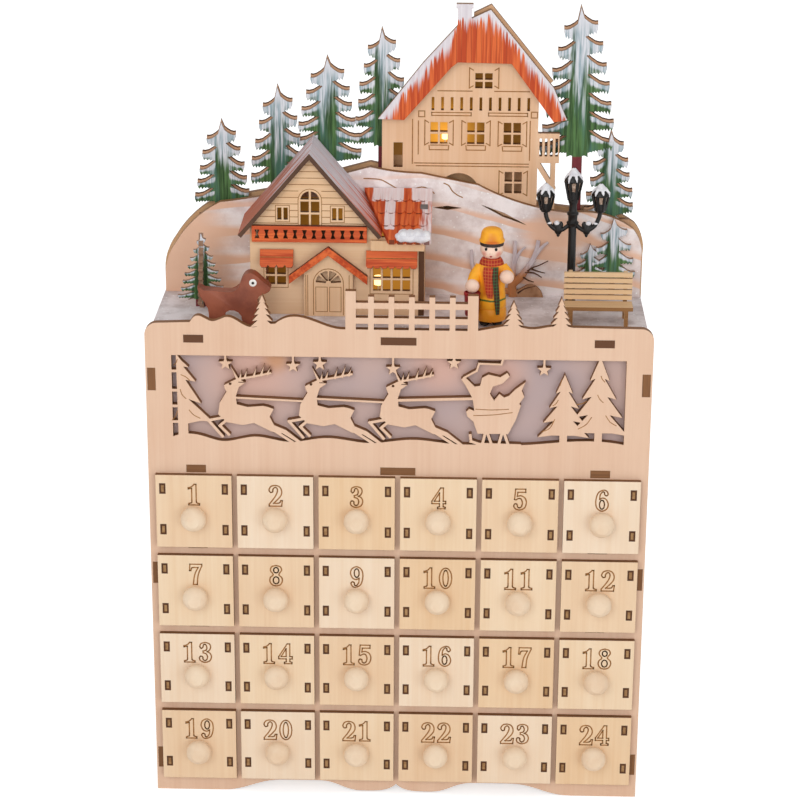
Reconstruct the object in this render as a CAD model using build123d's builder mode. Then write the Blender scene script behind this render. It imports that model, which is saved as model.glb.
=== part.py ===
from build123d import *
from math import cos, hypot, radians, sin, tan
import os

os.makedirs("parts", exist_ok=True)

# Wooden advent calendar. Millimetres, +Z up, +X to the right, the front looks along -Y.
# The origin is the middle of the footprint, on the surface that the calendar stands on.

# Case
case_width = 260.0
case_depth = 91.5
sheet = 4.0
thin_sheet = 3.0
joint_gap = 0.1
running_gap = 0.25
seat_gap = 0.3
side_inset = 1.0
deck_inset = 2.0
front_top = 267.0
front_corner = 6.5
deck_drop = 6.3
light_floor_drop = 79.4
tab_margin = 25.0
outer_tab = 10.0
middle_tab = 18.0
side_tab = 12.0
side_tab_shares = (0.073, 0.481, 0.886)

# Wavy foot line of the front panel, as distances from its middle
foot_length = 34.5
arch_outer = 61.0
arch_inner = 42.0
arch_rise = 6.7
lobe_offset = 18.0
lobe_rise = 0.9
cusp_rise = 5.2
wave_pull_share = 0.45

# Drawers
columns = 6
rows = 4
column_margin = 2.5
column_gap = 2.7
row_gap = 4.75
row_foot = 6.375
row_head = 0.225
drawer_side = 2.8
box_play = 1.55
box_rear_clearance = 7.5
shelf_rise = 0.45
opening_clearance = 9.65
drawer_tab = 5.4
drawer_tab_top = 7.6
drawer_tab_bottom = 10.0
knob_projection = 9.4
knob_radius = 6.4
knob_drop = 2.5
knob_sides = 10
knob_neck = 2.3
knob_neck_length = 3.4
knob_crown = 3.2
knob_crown_length = 3.6

# Lit window and its fretwork
window_margin = 13.5
window_height = 47.7
window_drop = 65.0
diffuser = 1.0
diffuser_margin = 5.0
fret_line = 1.5
antler_line = 1.1
deer_pitch_share = 0.179
deer_count = 3
first_deer_share = 0.115
star_radius = 3.8
star_waist_share = 0.42

# Scenery at the back of the deck
hill_margin = 2.5
hill_height = 70.0
chalet_left = 11.4
chalet_width = 82.4
chalet_height = 157.2

# Cottage
cottage_offset = 47.2
cottage_setback = 37.5
cottage_half = 31.3
cottage_apex = 84.0
cottage_slope = 49.5
roof_length = 54.8
roof_sheet = 2.2
roof_overhang = 4.5
annex_right = 9.2
annex_roof_right = 15.7
annex_slope = 20.5
annex_height = 42.3
annex_beam_height = 5.3
wall_gap = 0.3

# Light
wire = 1.2
wire_hole = 2.4
wire_sides = 6
lamp_sides = 8
lamp_block = 6.0
lamp_dome = 1.8
lamp_pitch = 36.0
lamp_count = 6
first_lamp = -84.0
lamp_setback_inside = 48.0
chalet_light_x = 22.0
chalet_light_rise = 85.3
cottage_light_rise = 16.0
cottage_lamp_radius = 2.3

# Battery box
battery_length = 50.5
battery_radius = 7.25
battery_sides = 16
battery_nub = 1.0
battery_nub_radius = 2.7
contact = 0.5
contact_width = 9.0
spring_length = 5.9
spring_tip = 2.3
box_wall = 1.6
bay_height = 32.2
switch_bay = 11.8
battery_box_depth = 20.0
cover = 2.0
cover_gap = 0.25
grip_width = 6.0
grip_height = 12.0
grip_depth = 0.8
switch_recess = 3.0
switch_knob = 5.0
switch_height = 7.0
switch_depth = 2.6
switch_travel = 4.0
switch_stem = 2.0

# Places worked out from the sizes above
deck_level = front_top - deck_drop
light_floor_level = front_top - light_floor_drop
window_bottom = front_top - window_drop
window_width = case_width - 2 * window_margin
deer_pitch = window_width * deer_pitch_share
hill_width = case_width - 2 * hill_margin
tab_offset = case_width / 2 - tab_margin
foot_inner = case_width / 2 - foot_length
column_pitch = (case_width - 2 * column_margin) / columns
row_pitch = (light_floor_level - row_foot - row_head) / rows
bottom_row_level = row_foot + row_pitch / 2
drawer_front_width = column_pitch - column_gap
drawer_front_height = row_pitch - row_gap
box_width = column_pitch - sheet - 2 * box_play
shelf_drop = drawer_front_height / 2 - shelf_rise
opening_height = row_pitch - opening_clearance
front_build = running_gap + thin_sheet + knob_projection
total_depth = case_depth + front_build
front_y = front_build - total_depth / 2
panel_rear_y = front_y + sheet
rear_y = front_y + case_depth
back_y = rear_y - sheet
middle_y = (front_y + rear_y) / 2
inner_depth = case_depth - 2 * sheet
hill_rear_y = back_y - 2 * sheet
chalet_rear_y = back_y - sheet
hill_front_y = hill_rear_y - sheet
side_x = case_width / 2 - side_inset - sheet / 2
side_inner_x = side_x - sheet / 2
side_outer_x = side_x + sheet / 2
slot = sheet + 2 * joint_gap
deck_middle = deck_level - sheet / 2
deck_bottom = deck_level - sheet
light_floor_top = light_floor_level + sheet / 2
row_levels = [bottom_row_level + row * row_pitch for row in range(rows)]
shelf_levels = [level - shelf_drop for level in row_levels]
column_places = [(column - (columns - 1) / 2) * column_pitch for column in range(columns)]
divider_places = [x + column_pitch / 2 for x in column_places[:-1]]
battery_bay = battery_length + spring_length + 2 * contact
battery_box_width = battery_bay + switch_bay + 3 * box_wall
battery_box_height = bay_height + 2 * box_wall
battery_box_left = -battery_box_width / 2
battery_box_level = light_floor_top + battery_box_height / 2
battery_box_front = rear_y - battery_box_depth


def wall_plane(y):
    """An upright plane at y whose sketches have X to the right and Z up; extruding goes to the front."""
    return Plane(origin=(0, y, 0), x_dir=(1, 0, 0), z_dir=(0, -1, 0))


def spread(shares, width, height, x=0, z=0):
    """Points of an outline given as shares of a width and a height, from the corner x, z."""
    return [(x + width * across, z + height * up) for across, up in shares]


def bar(start, end, width):
    """Corners of a straight strip of a sheet, run on past both ends by half its width."""
    (x0, z0), (x1, z1) = start, end
    length = hypot(x1 - x0, z1 - z0)
    ux = (x1 - x0) / length * width / 2
    uz = (z1 - z0) / length * width / 2
    return [
        (x0 - ux + uz, z0 - uz - ux),
        (x1 + ux + uz, z1 + uz - ux),
        (x1 + ux - uz, z1 + uz + ux),
        (x0 - ux - uz, z0 - uz + ux),
    ]


def spike(start, end, width):
    """Corners of a strip that narrows to a point at its end."""
    corners = bar(start, end, width)
    return [corners[0], end, corners[3]]


def strips(points, width):
    """Strips along a bent line."""
    return [bar(a, b, width) for a, b in zip(points, points[1:])]


fir_notch_share = 0.46
fir_droop_share = 0.3
fir_rise_share = 0.14
fir_growth_share = 0.8
bough_growth_share = 0.42
bough_stagger_share = 0.34
bough_tip_share = 0.38
bough_taper_share = 0.92
bough_notch_shares = (0.5, 0.26)
tooth_shares = ((0.2, 0.3), (0.8, 0.3), (1.0, 0.0))


def fir(x, base, height, half_width, tiers, trunk):
    """Outline of a small fir: each tier has a drooping tip and a notch nearer the trunk."""
    step = height / (tiers + 1)
    right = []
    for tier in range(1, tiers + 1):
        reach = half_width * (tier / tiers) ** fir_growth_share
        level = base + height - (tier + fir_droop_share) * step
        right.append((reach, level))
        right.append((reach * fir_notch_share, level + step * fir_rise_share))
    right.append((trunk, right[-1][1]))
    right.append((trunk, base))
    left = [(-across, level) for across, level in reversed(right)]
    return [(x, base + height)] + [(x + across, level) for across, level in right + left]


def snowy_fir(x, base, height, half_width, tiers, trunk):
    """Outline of a large fir: blunt drooping boughs, set at different levels on its two sides."""
    step = height / (tiers + 1)
    notch_across, notch_down = bough_notch_shares
    sides = []
    for side, stagger in ((1, 0), (-1, bough_stagger_share)):
        edge = []
        for tier in range(1, tiers + 1):
            reach = side * half_width * (tier / tiers) ** bough_growth_share
            level = base + height - (tier - stagger) * step
            edge.append((reach, level))
            edge.append((reach * bough_taper_share, level - step * bough_tip_share))
            edge.append((reach * notch_across, level - step * notch_down))
        edge.append((side * trunk, edge[-1][1]))
        edge.append((side * trunk, base))
        sides.append(edge)
    return [(x, base + height)] + [(x + across, level) for across, level in sides[0] + sides[1][::-1]]


def turned(plane, rings, sides):
    """A facetted turning about the plane's axis, from rings of height and radius."""
    sections = []
    for level, wide in rings:
        with BuildSketch(plane.offset(level)) as ring:
            RegularPolygon(wide, sides)
        sections.append(ring.sketch)
    loft(sections, ruled=True)


def toothed(left, width, teeth):
    """Points of a lower edge cut into equal blunt teeth, from left to right."""
    tooth = width / teeth
    points = [(left, 0)]
    for index in range(teeth):
        for across, down in tooth_shares:
            points.append((left + (index + across) * tooth, -tooth * down))
    return points


def star(x, z, radius):
    """Outline of a five-pointed star."""
    points = []
    for corner in range(10):
        reach = radius if corner % 2 == 0 else radius * star_waist_share
        angle = radians(90 + 36 * corner)
        points.append((x + reach * cos(angle), z + reach * sin(angle)))
    return points


def polygons(outlines):
    """Faces for one joint addition to a sketch."""
    return [Polygon(*points, align=None, mode=Mode.PRIVATE) for points in outlines]


def cut_tab_slots(board_levels):
    """Slots for the tabs of the deck, the light floor, the sides and the boards at some levels."""
    with Locations((0, deck_middle), (0, light_floor_level)):
        Rectangle(middle_tab + 2 * joint_gap, slot, mode=Mode.SUBTRACT)
    for level in [deck_middle, light_floor_level] + board_levels:
        with Locations((-tab_offset, level), (tab_offset, level)):
            Rectangle(outer_tab + 2 * joint_gap, slot, mode=Mode.SUBTRACT)
    for share in side_tab_shares:
        with Locations((-side_x, front_top * share), (side_x, front_top * share)):
            Rectangle(slot, side_tab + 2 * joint_gap, mode=Mode.SUBTRACT)


# Outline of the front panel's top edge: snow drifts, three small firs and a picket fence
crest_height = 15.5
left_drift_shares = ((-0.82, 0.04), (-0.782, 0.26), (-0.732, 0.08), (-0.677, 0.23), (-0.6, -0.06), (-0.535, 0.0))
middle_drift_shares = ((-0.485, 0.02), (-0.386, 0.26), (-0.27, -0.07), (-0.21, -0.14))
right_drift_shares = ((0.308, -0.14), (0.4, 0.02), (0.45, 0.06), (0.514, -0.05), (0.58, 0.02), (0.68, 0.02))
crest_fir_shares = ((-0.535, 1.0), (0.449, 0.88), (0.635, 1.03))
crest_fir_half = 6.2
crest_fir_tiers = 5
crest_fir_root = 4.0
crest_trunk = 1.2
fence_left_share = -0.1885
fence_pitch_share = 0.0798
fence_uprights = 7
picket = 3.0
post = 5.4
picket_height = 15.4
left_post_height = 18.2
right_post_height = 16.4
rail = 3.2
lower_rail_height = 2.5
upper_rail_height = 10.5
fence_root = 5.0

# Fretwork, as shares of the window's width and height
ground_shares = (
    (0.0, 0.07), (0.07, 0.075), (0.107, 0.025), (0.181, 0.08), (0.256, 0.025), (0.337, 0.075),
    (0.433, 0.025), (0.531, 0.07), (0.616, 0.03), (0.7, 0.025), (0.77, 0.025), (0.85, 0.06), (1.0, 0.045),
)
star_shares = ((0.119, 0.91), (0.268, 0.893), (0.327, 0.92), (0.488, 0.875), (0.622, 0.95), (0.82, 0.887))
left_tree_shares = (
    (0.01, 1.02), (0.022, 0.94), (0.038, 0.865), (0.026, 0.87), (0.053, 0.7), (0.03, 0.72),
    (0.064, 0.45), (0.036, 0.5), (0.088, 0.25), (0.06, 0.25), (0.034, 0.22), (0.034, 0.05), (0.012, 0.05),
)
left_link_shares = (0.82, 0.6, 0.42, 0.24)
sleigh_shares = (
    (0.65, 0.4), (0.657, 0.434), (0.671, 0.406), (0.755, 0.406), (0.771, 0.481), (0.76, 0.311),
    (0.744, 0.15), (0.676, 0.15), (0.666, 0.29), (0.653, 0.345),
)
driver_shares = (
    (0.645, 0.8), (0.652, 0.77), (0.668, 0.69), (0.68, 0.7), (0.684, 0.79), (0.698, 0.83), (0.724, 0.8),
    (0.739, 0.85), (0.745, 0.81), (0.73, 0.73), (0.708, 0.69), (0.702, 0.61), (0.713, 0.52),
    (0.716, 0.38), (0.669, 0.38), (0.664, 0.55), (0.648, 0.7), (0.638, 0.77),
)
sack_shares = (
    (0.714, 0.39), (0.712, 0.54), (0.723, 0.61), (0.733, 0.57), (0.744, 0.59), (0.757, 0.66), (0.78, 0.75),
    (0.772, 0.65), (0.778, 0.58), (0.767, 0.5), (0.771, 0.48), (0.755, 0.39),
)
whip_shares = ((0.645, 0.79), (0.672, 0.868), (0.677, 0.95), (0.726, 0.943), (0.73, 1.02))
runner_shares = ((0.66, 0.13), (0.662, 0.06), (0.68, 0.03), (0.77, 0.02))
strut_shares = (
    ((0.693, 0.16), (0.687, 0.02)), ((0.698, 0.16), (0.708, 0.02)),
    ((0.73, 0.16), (0.723, 0.02)), ((0.735, 0.16), (0.745, 0.02)),
)
rein_shares = ((0.498, 0.52), (0.662, 0.55))
window_fir_shares = ((0.866, 0.84, 0.057), (0.943, 1.04, 0.066))
window_fir_tiers = 4
window_trunk = 2.0

# A leaping deer, as shares of the spacing of the deer and of the window's height, from its nose
deer_shares = (
    (0.0, 0.667), (0.089, 0.709), (0.168, 0.745), (0.267, 0.7), (0.184, 0.645), (0.145, 0.54), (0.155, 0.45),
    (0.287, 0.42), (0.48, 0.435), (0.535, 0.425), (0.61, 0.4), (0.56, 0.31), (0.614, 0.215), (0.762, 0.16),
    (0.96, 0.02), (0.9, 0.02), (0.72, 0.12), (0.58, 0.14), (0.366, 0.236), (0.228, 0.21), (0.03, 0.24),
    (-0.079, 0.33), (-0.059, 0.46), (0.03, 0.593), (0.006, 0.635),
)
front_leg_shares = ((0.02, 0.3), (-0.2, 0.26), (-0.03, 0.08))
near_leg_shares = ((0.03, 0.27), (-0.06, 0.2), (0.05, 0.1))
hind_leg_shares = ((0.6, 0.16), (0.84, 0.02))
antler_shares = ((0.168, 0.735), (0.37, 0.768), (0.575, 0.81))
tine_shares = (
    ((0.168, 0.735), (0.09, 0.88)), ((0.2, 0.74), (0.215, 0.82)), ((0.26, 0.755), (0.285, 0.84)),
    ((0.37, 0.768), (0.4, 0.87)), ((0.46, 0.785), (0.5, 0.9)), ((0.54, 0.8), (0.57, 0.87)),
)
harness_shares = ((0.13, 0.525), (0.96, 0.495))


def fretwork_outlines():
    """Outlines of everything left standing in the window, apart from the ground."""
    left = -window_width / 2

    def place(shares):
        return spread(shares, window_width, window_height, left, window_bottom)

    shapes = [place(left_tree_shares), place(sleigh_shares), place(driver_shares), place(sack_shares)]
    trunk_x = left + window_width * left_tree_shares[-1][0]
    for share in left_link_shares:
        level = window_bottom + window_height * share
        shapes.append(bar((left, level), (trunk_x, level), fret_line))
    for line in (whip_shares, runner_shares, rein_shares) + strut_shares:
        shapes += strips(place(line), antler_line if line is whip_shares else fret_line)
    for across, up in star_shares:
        x = left + window_width * across
        z = window_bottom + window_height * up
        shapes.append(star(x, z, star_radius))
        shapes.append(bar((x, z), (x, window_bottom + window_height), antler_line))
    for across, up, half in window_fir_shares:
        height = window_height * up
        x = left + window_width * across
        shapes.append(fir(x, window_bottom, height, window_width * half, window_fir_tiers, window_trunk))
    for deer in range(deer_count):
        nose = left + window_width * first_deer_share + deer * deer_pitch

        def pose(shares):
            return spread(shares, deer_pitch, window_height, nose, window_bottom)

        shapes.append(pose(deer_shares))
        shapes += strips(pose(front_leg_shares), fret_line)
        shapes += strips(pose(near_leg_shares), fret_line)
        shapes += strips(pose(hind_leg_shares), fret_line)
        shapes += strips(pose(antler_shares), antler_line)
        shapes += [spike(*pose(tine), fret_line) for tine in tine_shares]
        if deer < deer_count - 1:
            shapes += strips(pose(harness_shares), antler_line)
    return shapes


# Front panel
half_case = case_width / 2
left_drift = spread(left_drift_shares, half_case, crest_height, z=front_top)
middle_drift = spread(middle_drift_shares, half_case, crest_height, z=front_top)
right_drift = spread(right_drift_shares, half_case, crest_height, z=front_top)
corner_x = half_case - front_corner
corner_z = front_top - front_corner
arch_pull = (foot_inner - arch_outer) * wave_pull_share
lobe_pull = (arch_inner - lobe_offset) * wave_pull_share
cusp_pull = lobe_offset * wave_pull_share

with BuildPart() as front_panel:
    with BuildSketch(wall_plane(panel_rear_y)):
        with BuildLine():
            Line((foot_inner, 0), (half_case, 0))
            Line((half_case, 0), (half_case, corner_z))
            CenterArc((corner_x, corner_z), front_corner, 0, 90)
            Line((corner_x, front_top), right_drift[-1])
            Spline(*reversed(right_drift))
            Line(right_drift[0], middle_drift[-1])
            Spline(*reversed(middle_drift))
            Line(middle_drift[0], left_drift[-1])
            Spline(*reversed(left_drift))
            Line(left_drift[0], (-corner_x, front_top))
            CenterArc((-corner_x, corner_z), front_corner, 90, 90)
            Line((-half_case, corner_z), (-half_case, 0))
            Line((-half_case, 0), (-foot_inner, 0))
            for side in (-1, 1):
                Bezier(
                    (side * foot_inner, 0), (side * (foot_inner - arch_pull), 0),
                    (side * (arch_outer + arch_pull), arch_rise), (side * arch_outer, arch_rise),
                )
                Line((side * arch_outer, arch_rise), (side * arch_inner, arch_rise))
                Bezier(
                    (side * arch_inner, arch_rise), (side * (arch_inner - lobe_pull), arch_rise),
                    (side * (lobe_offset + lobe_pull), lobe_rise), (side * lobe_offset, lobe_rise),
                )
                Bezier(
                    (side * lobe_offset, lobe_rise), (side * (lobe_offset - cusp_pull), lobe_rise),
                    (side * cusp_pull / 2, lobe_rise), (0, cusp_rise),
                )
        make_face()
        crest = []
        for across, up in crest_fir_shares:
            top = front_top + crest_height * up
            base = front_top - crest_fir_root
            x = half_case * across
            crest.append(fir(x, base, top - base, crest_fir_half, crest_fir_tiers, crest_trunk))
        fence_left = half_case * fence_left_share
        fence_pitch = half_case * fence_pitch_share
        for upright in range(fence_uprights):
            x = fence_left + upright * fence_pitch
            width = post if upright in (0, fence_uprights - 1) else picket
            height = {0: left_post_height, fence_uprights - 1: right_post_height}.get(upright, picket_height)
            left, right = x - width / 2, x + width / 2
            top, root = front_top + height, front_top - fence_root
            crest.append([(left, root), (right, root), (right, top), (left, top)])
        fence_right = fence_left + (fence_uprights - 1) * fence_pitch
        for height in (lower_rail_height, upper_rail_height):
            crest.append(bar((fence_left, front_top + height), (fence_right, front_top + height), rail))
        add(polygons(crest))
        with Locations((0, window_bottom + window_height / 2)):
            Rectangle(window_width, window_height, mode=Mode.SUBTRACT)
        for level in row_levels:
            opening_middle = level - shelf_drop + sheet / 2 + opening_height / 2
            for x in column_places:
                with Locations((x, opening_middle)):
                    Rectangle(box_width + 2 * seat_gap, opening_height, mode=Mode.SUBTRACT)
        cut_tab_slots(shelf_levels)
        add(polygons(fretwork_outlines()))
        ground = spread(ground_shares, window_width, window_height, -window_width / 2, window_bottom)
        with BuildLine():
            Spline(*ground)
            Line(ground[-1], (window_width / 2, window_bottom))
            Line((window_width / 2, window_bottom), (-window_width / 2, window_bottom))
            Line((-window_width / 2, window_bottom), ground[0])
        make_face()
    extrude(amount=sheet)
front_panel.part.label = "front_panel"
export_step(front_panel.part, "parts/front_panel.step")

# Back panel: the case's rear wall, whose top follows the hill and closes the chalet's windows
hill_line_shares = (
    (-1.0, 0.13), (-0.993, 0.24), (-0.953, 0.391), (-0.857, 0.6), (-0.764, 0.713), (-0.635, 0.747), (-0.44, 0.83),
    (-0.245, 0.945), (-0.137, 1.0), (-0.038, 0.967), (0.075, 0.954), (0.165, 0.921), (0.311, 0.87), (0.479, 0.74),
    (0.696, 0.66), (0.893, 0.615), (0.962, 0.541), (0.993, 0.44), (1.0, 0.3),
)
chalet_back_shares = (
    (0.03, 0.2), (0.98, 0.2), (0.98, 0.68), (0.76, 0.815), (0.52, 0.815), (0.1, 0.62), (0.03, 0.6),
)


def hill_outline(half_width, foot):
    """Closed outline of a sheet with the hill's sky line, down to a level foot."""
    line = spread(hill_line_shares, half_width, hill_height, z=deck_level)
    with BuildLine() as edge:
        for start in range(0, len(line) - 1, 2):
            ThreePointArc(*line[start:start + 3])
        Polyline(line[-1], (half_width, foot), (-half_width, foot), line[0])
    make_face(edge.edges())


with BuildPart() as back_panel:
    with BuildSketch(wall_plane(rear_y)):
        hill_outline(side_outer_x, 0)
        add(polygons([spread(chalet_back_shares, chalet_width, chalet_height, -chalet_left, deck_level)]))
        cut_tab_slots([])
        with Locations((0, battery_box_level)):
            Rectangle(battery_box_width + 2 * joint_gap, battery_box_height + joint_gap, mode=Mode.SUBTRACT)
    extrude(amount=sheet)
back_panel.part.label = "back_panel"
export_step(back_panel.part, "parts/back_panel.step")

# Sides
for name, x in (("left_side", -side_outer_x), ("right_side", side_inner_x)):
    with BuildPart() as side_panel:
        with BuildSketch(Plane.YZ.offset(x)):
            with Locations((middle_y, deck_bottom / 2)):
                Rectangle(inner_depth, deck_bottom)
            for share in side_tab_shares:
                with Locations((middle_y, front_top * share)):
                    Rectangle(case_depth, side_tab)
        extrude(amount=sheet)
    side_panel.part.label = name
    export_step(side_panel.part, f"parts/{name}.step")

# Deck and light floor
lamp_places = [first_lamp + lamp * lamp_pitch for lamp in range(lamp_count)]
lamp_y = front_y + lamp_setback_inside
cottage_lamp_x = lamp_places[2]
chalet_lamp_y = back_y - sheet / 2

with BuildPart() as top_deck:
    with BuildSketch(Plane.XY.offset(deck_bottom)):
        with Locations((0, middle_y)):
            Rectangle(2 * (case_width / 2 - deck_inset), inner_depth)
            Rectangle(middle_tab, case_depth)
        with Locations((-tab_offset, middle_y), (tab_offset, middle_y)):
            Rectangle(outer_tab, case_depth)
        with Locations((cottage_lamp_x, lamp_y), (chalet_light_x, chalet_lamp_y)):
            RegularPolygon(wire_hole / 2, wire_sides, mode=Mode.SUBTRACT)
    extrude(amount=sheet)
top_deck.part.label = "top_deck"
export_step(top_deck.part, "parts/top_deck.step")

with BuildPart() as light_floor:
    with BuildSketch(Plane.XY.offset(light_floor_level - sheet / 2)):
        with Locations((0, middle_y)):
            Rectangle(2 * side_inner_x, inner_depth)
            Rectangle(middle_tab, case_depth)
        with Locations((-tab_offset, middle_y), (tab_offset, middle_y)):
            Rectangle(outer_tab, case_depth)
    extrude(amount=sheet)
light_floor.part.label = "light_floor"
export_step(light_floor.part, "parts/light_floor.step")

# Egg crate: the shelves are slotted from the rear and the dividers from the front
lap = inner_depth / 2 + joint_gap
crate_boards = []
for index, level in enumerate(shelf_levels):
    with BuildPart() as shelf:
        with BuildSketch(Plane.XY.offset(level - sheet / 2)):
            with Locations((0, middle_y)):
                Rectangle(2 * side_inner_x, inner_depth)
            with Locations([(x, (front_y + panel_rear_y) / 2) for x in (-tab_offset, tab_offset)]):
                Rectangle(outer_tab, sheet)
            if index > 0:
                with Locations([(x, back_y - lap / 2) for x in divider_places]):
                    Rectangle(slot, lap, mode=Mode.SUBTRACT)
        extrude(amount=sheet)
    crate_boards.append(shelf.part)

base_board = crate_boards[0]
base_board.label = "base_board"
export_step(base_board, "parts/base_board.step")
shelves = Compound(label="shelves", children=crate_boards[1:])
export_step(shelves, "parts/shelves.step")

base_top = shelf_levels[0] + sheet / 2
divider_top = light_floor_level - sheet / 2
divider_boards = []
for x in divider_places:
    with BuildPart() as divider:
        with BuildSketch(Plane.YZ.offset(x - sheet / 2)):
            with Locations((middle_y, (base_top + divider_top) / 2)):
                Rectangle(inner_depth, divider_top - base_top)
            with Locations([(panel_rear_y + lap / 2, level) for level in shelf_levels[1:]]):
                Rectangle(lap, slot, mode=Mode.SUBTRACT)
        extrude(amount=sheet)
    divider_boards.append(divider.part)
dividers = Compound(label="dividers", children=divider_boards)
export_step(dividers, "parts/dividers.step")

# Diffuser glued behind the fretwork
with BuildPart() as diffuser_sheet:
    with BuildSketch(wall_plane(panel_rear_y + diffuser)):
        with Locations((0, window_bottom + window_height / 2)):
            Rectangle(window_width + 2 * diffuser_margin, window_height + 2 * diffuser_margin)
    extrude(amount=diffuser)
diffuser_sheet.part.label = "diffuser_sheet"
export_step(diffuser_sheet.part, "parts/diffuser_sheet.step")

# Drawers: tabs of the side boards come through the front board
drawer_face_y = front_y - running_gap - thin_sheet
front_rear_y = front_y - running_gap
box_rear_y = back_y - box_rear_clearance
box_bottom = running_gap + sheet / 2 - shelf_drop
tab_levels = (drawer_front_height / 2 - drawer_tab_top, drawer_tab_bottom - drawer_front_height / 2)
box_top = tab_levels[0] + drawer_tab / 2
box_height = box_top - box_bottom
board_x = box_width / 2 - drawer_side

with BuildPart() as drawer_front:
    with BuildSketch(wall_plane(front_rear_y)):
        Rectangle(drawer_front_width, drawer_front_height)
        for x in (board_x + drawer_side / 2, -board_x - drawer_side / 2):
            with Locations([(x, level) for level in tab_levels]):
                Rectangle(drawer_side + joint_gap, drawer_tab + joint_gap, mode=Mode.SUBTRACT)
    extrude(amount=thin_sheet)

drawer_sides = []
for x in (-box_width / 2, board_x):
    with BuildPart() as drawer_wall:
        with BuildSketch(Plane.YZ.offset(x)):
            with Locations(((front_rear_y + box_rear_y) / 2, (box_bottom + box_top) / 2)):
                Rectangle(box_rear_y - front_rear_y, box_height)
            with Locations([((drawer_face_y + front_rear_y) / 2, level) for level in tab_levels]):
                Rectangle(thin_sheet, drawer_tab)
        extrude(amount=drawer_side)
    drawer_sides.append(drawer_wall.part)

with BuildPart() as drawer_back:
    with BuildSketch(wall_plane(box_rear_y)):
        with Locations((0, (box_bottom + box_top) / 2)):
            Rectangle(2 * board_x, box_height)
    extrude(amount=drawer_side)

with BuildPart() as drawer_bottom:
    with BuildSketch(Plane.XY.offset(box_bottom)):
        with Locations((0, (front_rear_y + box_rear_y - drawer_side) / 2)):
            Rectangle(2 * board_x, box_rear_y - drawer_side - front_rear_y)
    extrude(amount=drawer_side)

with BuildPart() as knob:
    knob_plane = Plane((0, drawer_face_y, -knob_drop), x_dir=(1, 0, 0), z_dir=(0, -1, 0))
    with BuildSketch(knob_plane):
        RegularPolygon(knob_radius, knob_sides)
    extrude(amount=knob_projection)
    for end, inward, along in ((0, knob_crown, knob_crown_length), (-1, knob_neck, knob_neck_length)):
        knob_end = knob.faces().sort_by(Axis.Y)[end]
        chamfer(knob_end.edges(), length=inward, length2=along, reference=knob_end)

drawer_boards = [drawer_front.part, *drawer_sides, drawer_back.part, drawer_bottom.part, knob.part]
number = 0
for level in reversed(row_levels):
    for x in column_places:
        number += 1
        place = Location((x, 0, level))
        drawer = Compound(label=f"drawer_{number:02d}", children=[board.moved(place) for board in drawer_boards])
        export_step(drawer, f"parts/drawer_{number:02d}.step")

# Hill with two slanting cuts in its snow
short_cut = 15.5
long_cut = 27.0
cut_width = 2.2
cut_turn = -24.0
short_cut_share = (0.185, 0.69)
long_cut_share = (0.42, 0.64)
with BuildPart() as hill_panel:
    with BuildSketch(wall_plane(hill_rear_y)):
        hill_outline(hill_width / 2, deck_level)
        for share, length, turn in ((short_cut_share, short_cut, 0), (long_cut_share, long_cut, cut_turn)):
            with Locations(spread([share], hill_width / 2, hill_height, z=deck_level)[0]):
                Polygon(
                    (-length / 2, 0), (0, -cut_width / 2), (length / 2, 0), (0, cut_width / 2),
                    rotation=turn, align=None, mode=Mode.SUBTRACT,
                )
    extrude(amount=sheet)
hill_panel.part.label = "hill_panel"
export_step(hill_panel.part, "parts/hill_panel.step")

# Fir trees behind the hill: place, crown top, crown foot and half width, as shares of the hill and the backdrop
left_fir_shares = (
    (-0.76, 0.592, 0.31, 0.105), (-0.525, 0.714, 0.396, 0.1),
    (-0.318, 0.814, 0.453, 0.128), (-0.092, 0.912, 0.54, 0.1),
)
right_fir_shares = ((0.722, 0.993, 0.49, 0.142), (0.862, 0.571, 0.29, 0.096))
overlay_fir_shares = ((0.88, 0.283, 0.06, 0.1), (0.785, 0.19, 0.05, 0.075))
fir_tiers = 6
small_fir_tiers = 5
fir_trunk = 1.8
band_share = 0.26
left_band_shares = (-0.86, -0.06)
right_band_shares = (0.62, 0.95)


def fir_outlines(shares, tiers):
    """Outlines of a row of firs, each with its trunk run down to the deck."""
    shapes = []
    for across, top, crown_foot, half in shares:
        step = chalet_height * (top - crown_foot) / (tiers + bough_tip_share)
        base = deck_level + chalet_height * top - (tiers + 1) * step
        height = (tiers + 1) * step
        outline = snowy_fir(hill_width / 2 * across, base, height, hill_width / 2 * half, tiers, fir_trunk)
        shapes.append([(x, deck_level if z == base else z) for x, z in outline])
    return shapes


band_top = deck_level + chalet_height * band_share
tree_sheets = (
    ("trees_left", left_fir_shares, left_band_shares),
    ("trees_right", right_fir_shares, right_band_shares),
)
for name, shares, (left_share, right_share) in tree_sheets:
    left, right = hill_width / 2 * left_share, hill_width / 2 * right_share
    band = [(left, deck_level), (right, deck_level), (right, band_top), (left, band_top)]
    with BuildPart() as trees:
        with BuildSketch(wall_plane(back_y)):
            add(polygons([band] + fir_outlines(shares, fir_tiers)))
        extrude(amount=sheet)
    trees.part.label = name
    export_step(trees.part, f"parts/{name}.step")

with BuildPart() as hill_trees:
    with BuildSketch(wall_plane(hill_front_y)):
        add(polygons(fir_outlines(overlay_fir_shares, small_fir_tiers)))
    extrude(amount=thin_sheet)
hill_trees.part.label = "hill_trees"
export_step(hill_trees.part, "parts/hill_trees.step")

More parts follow.
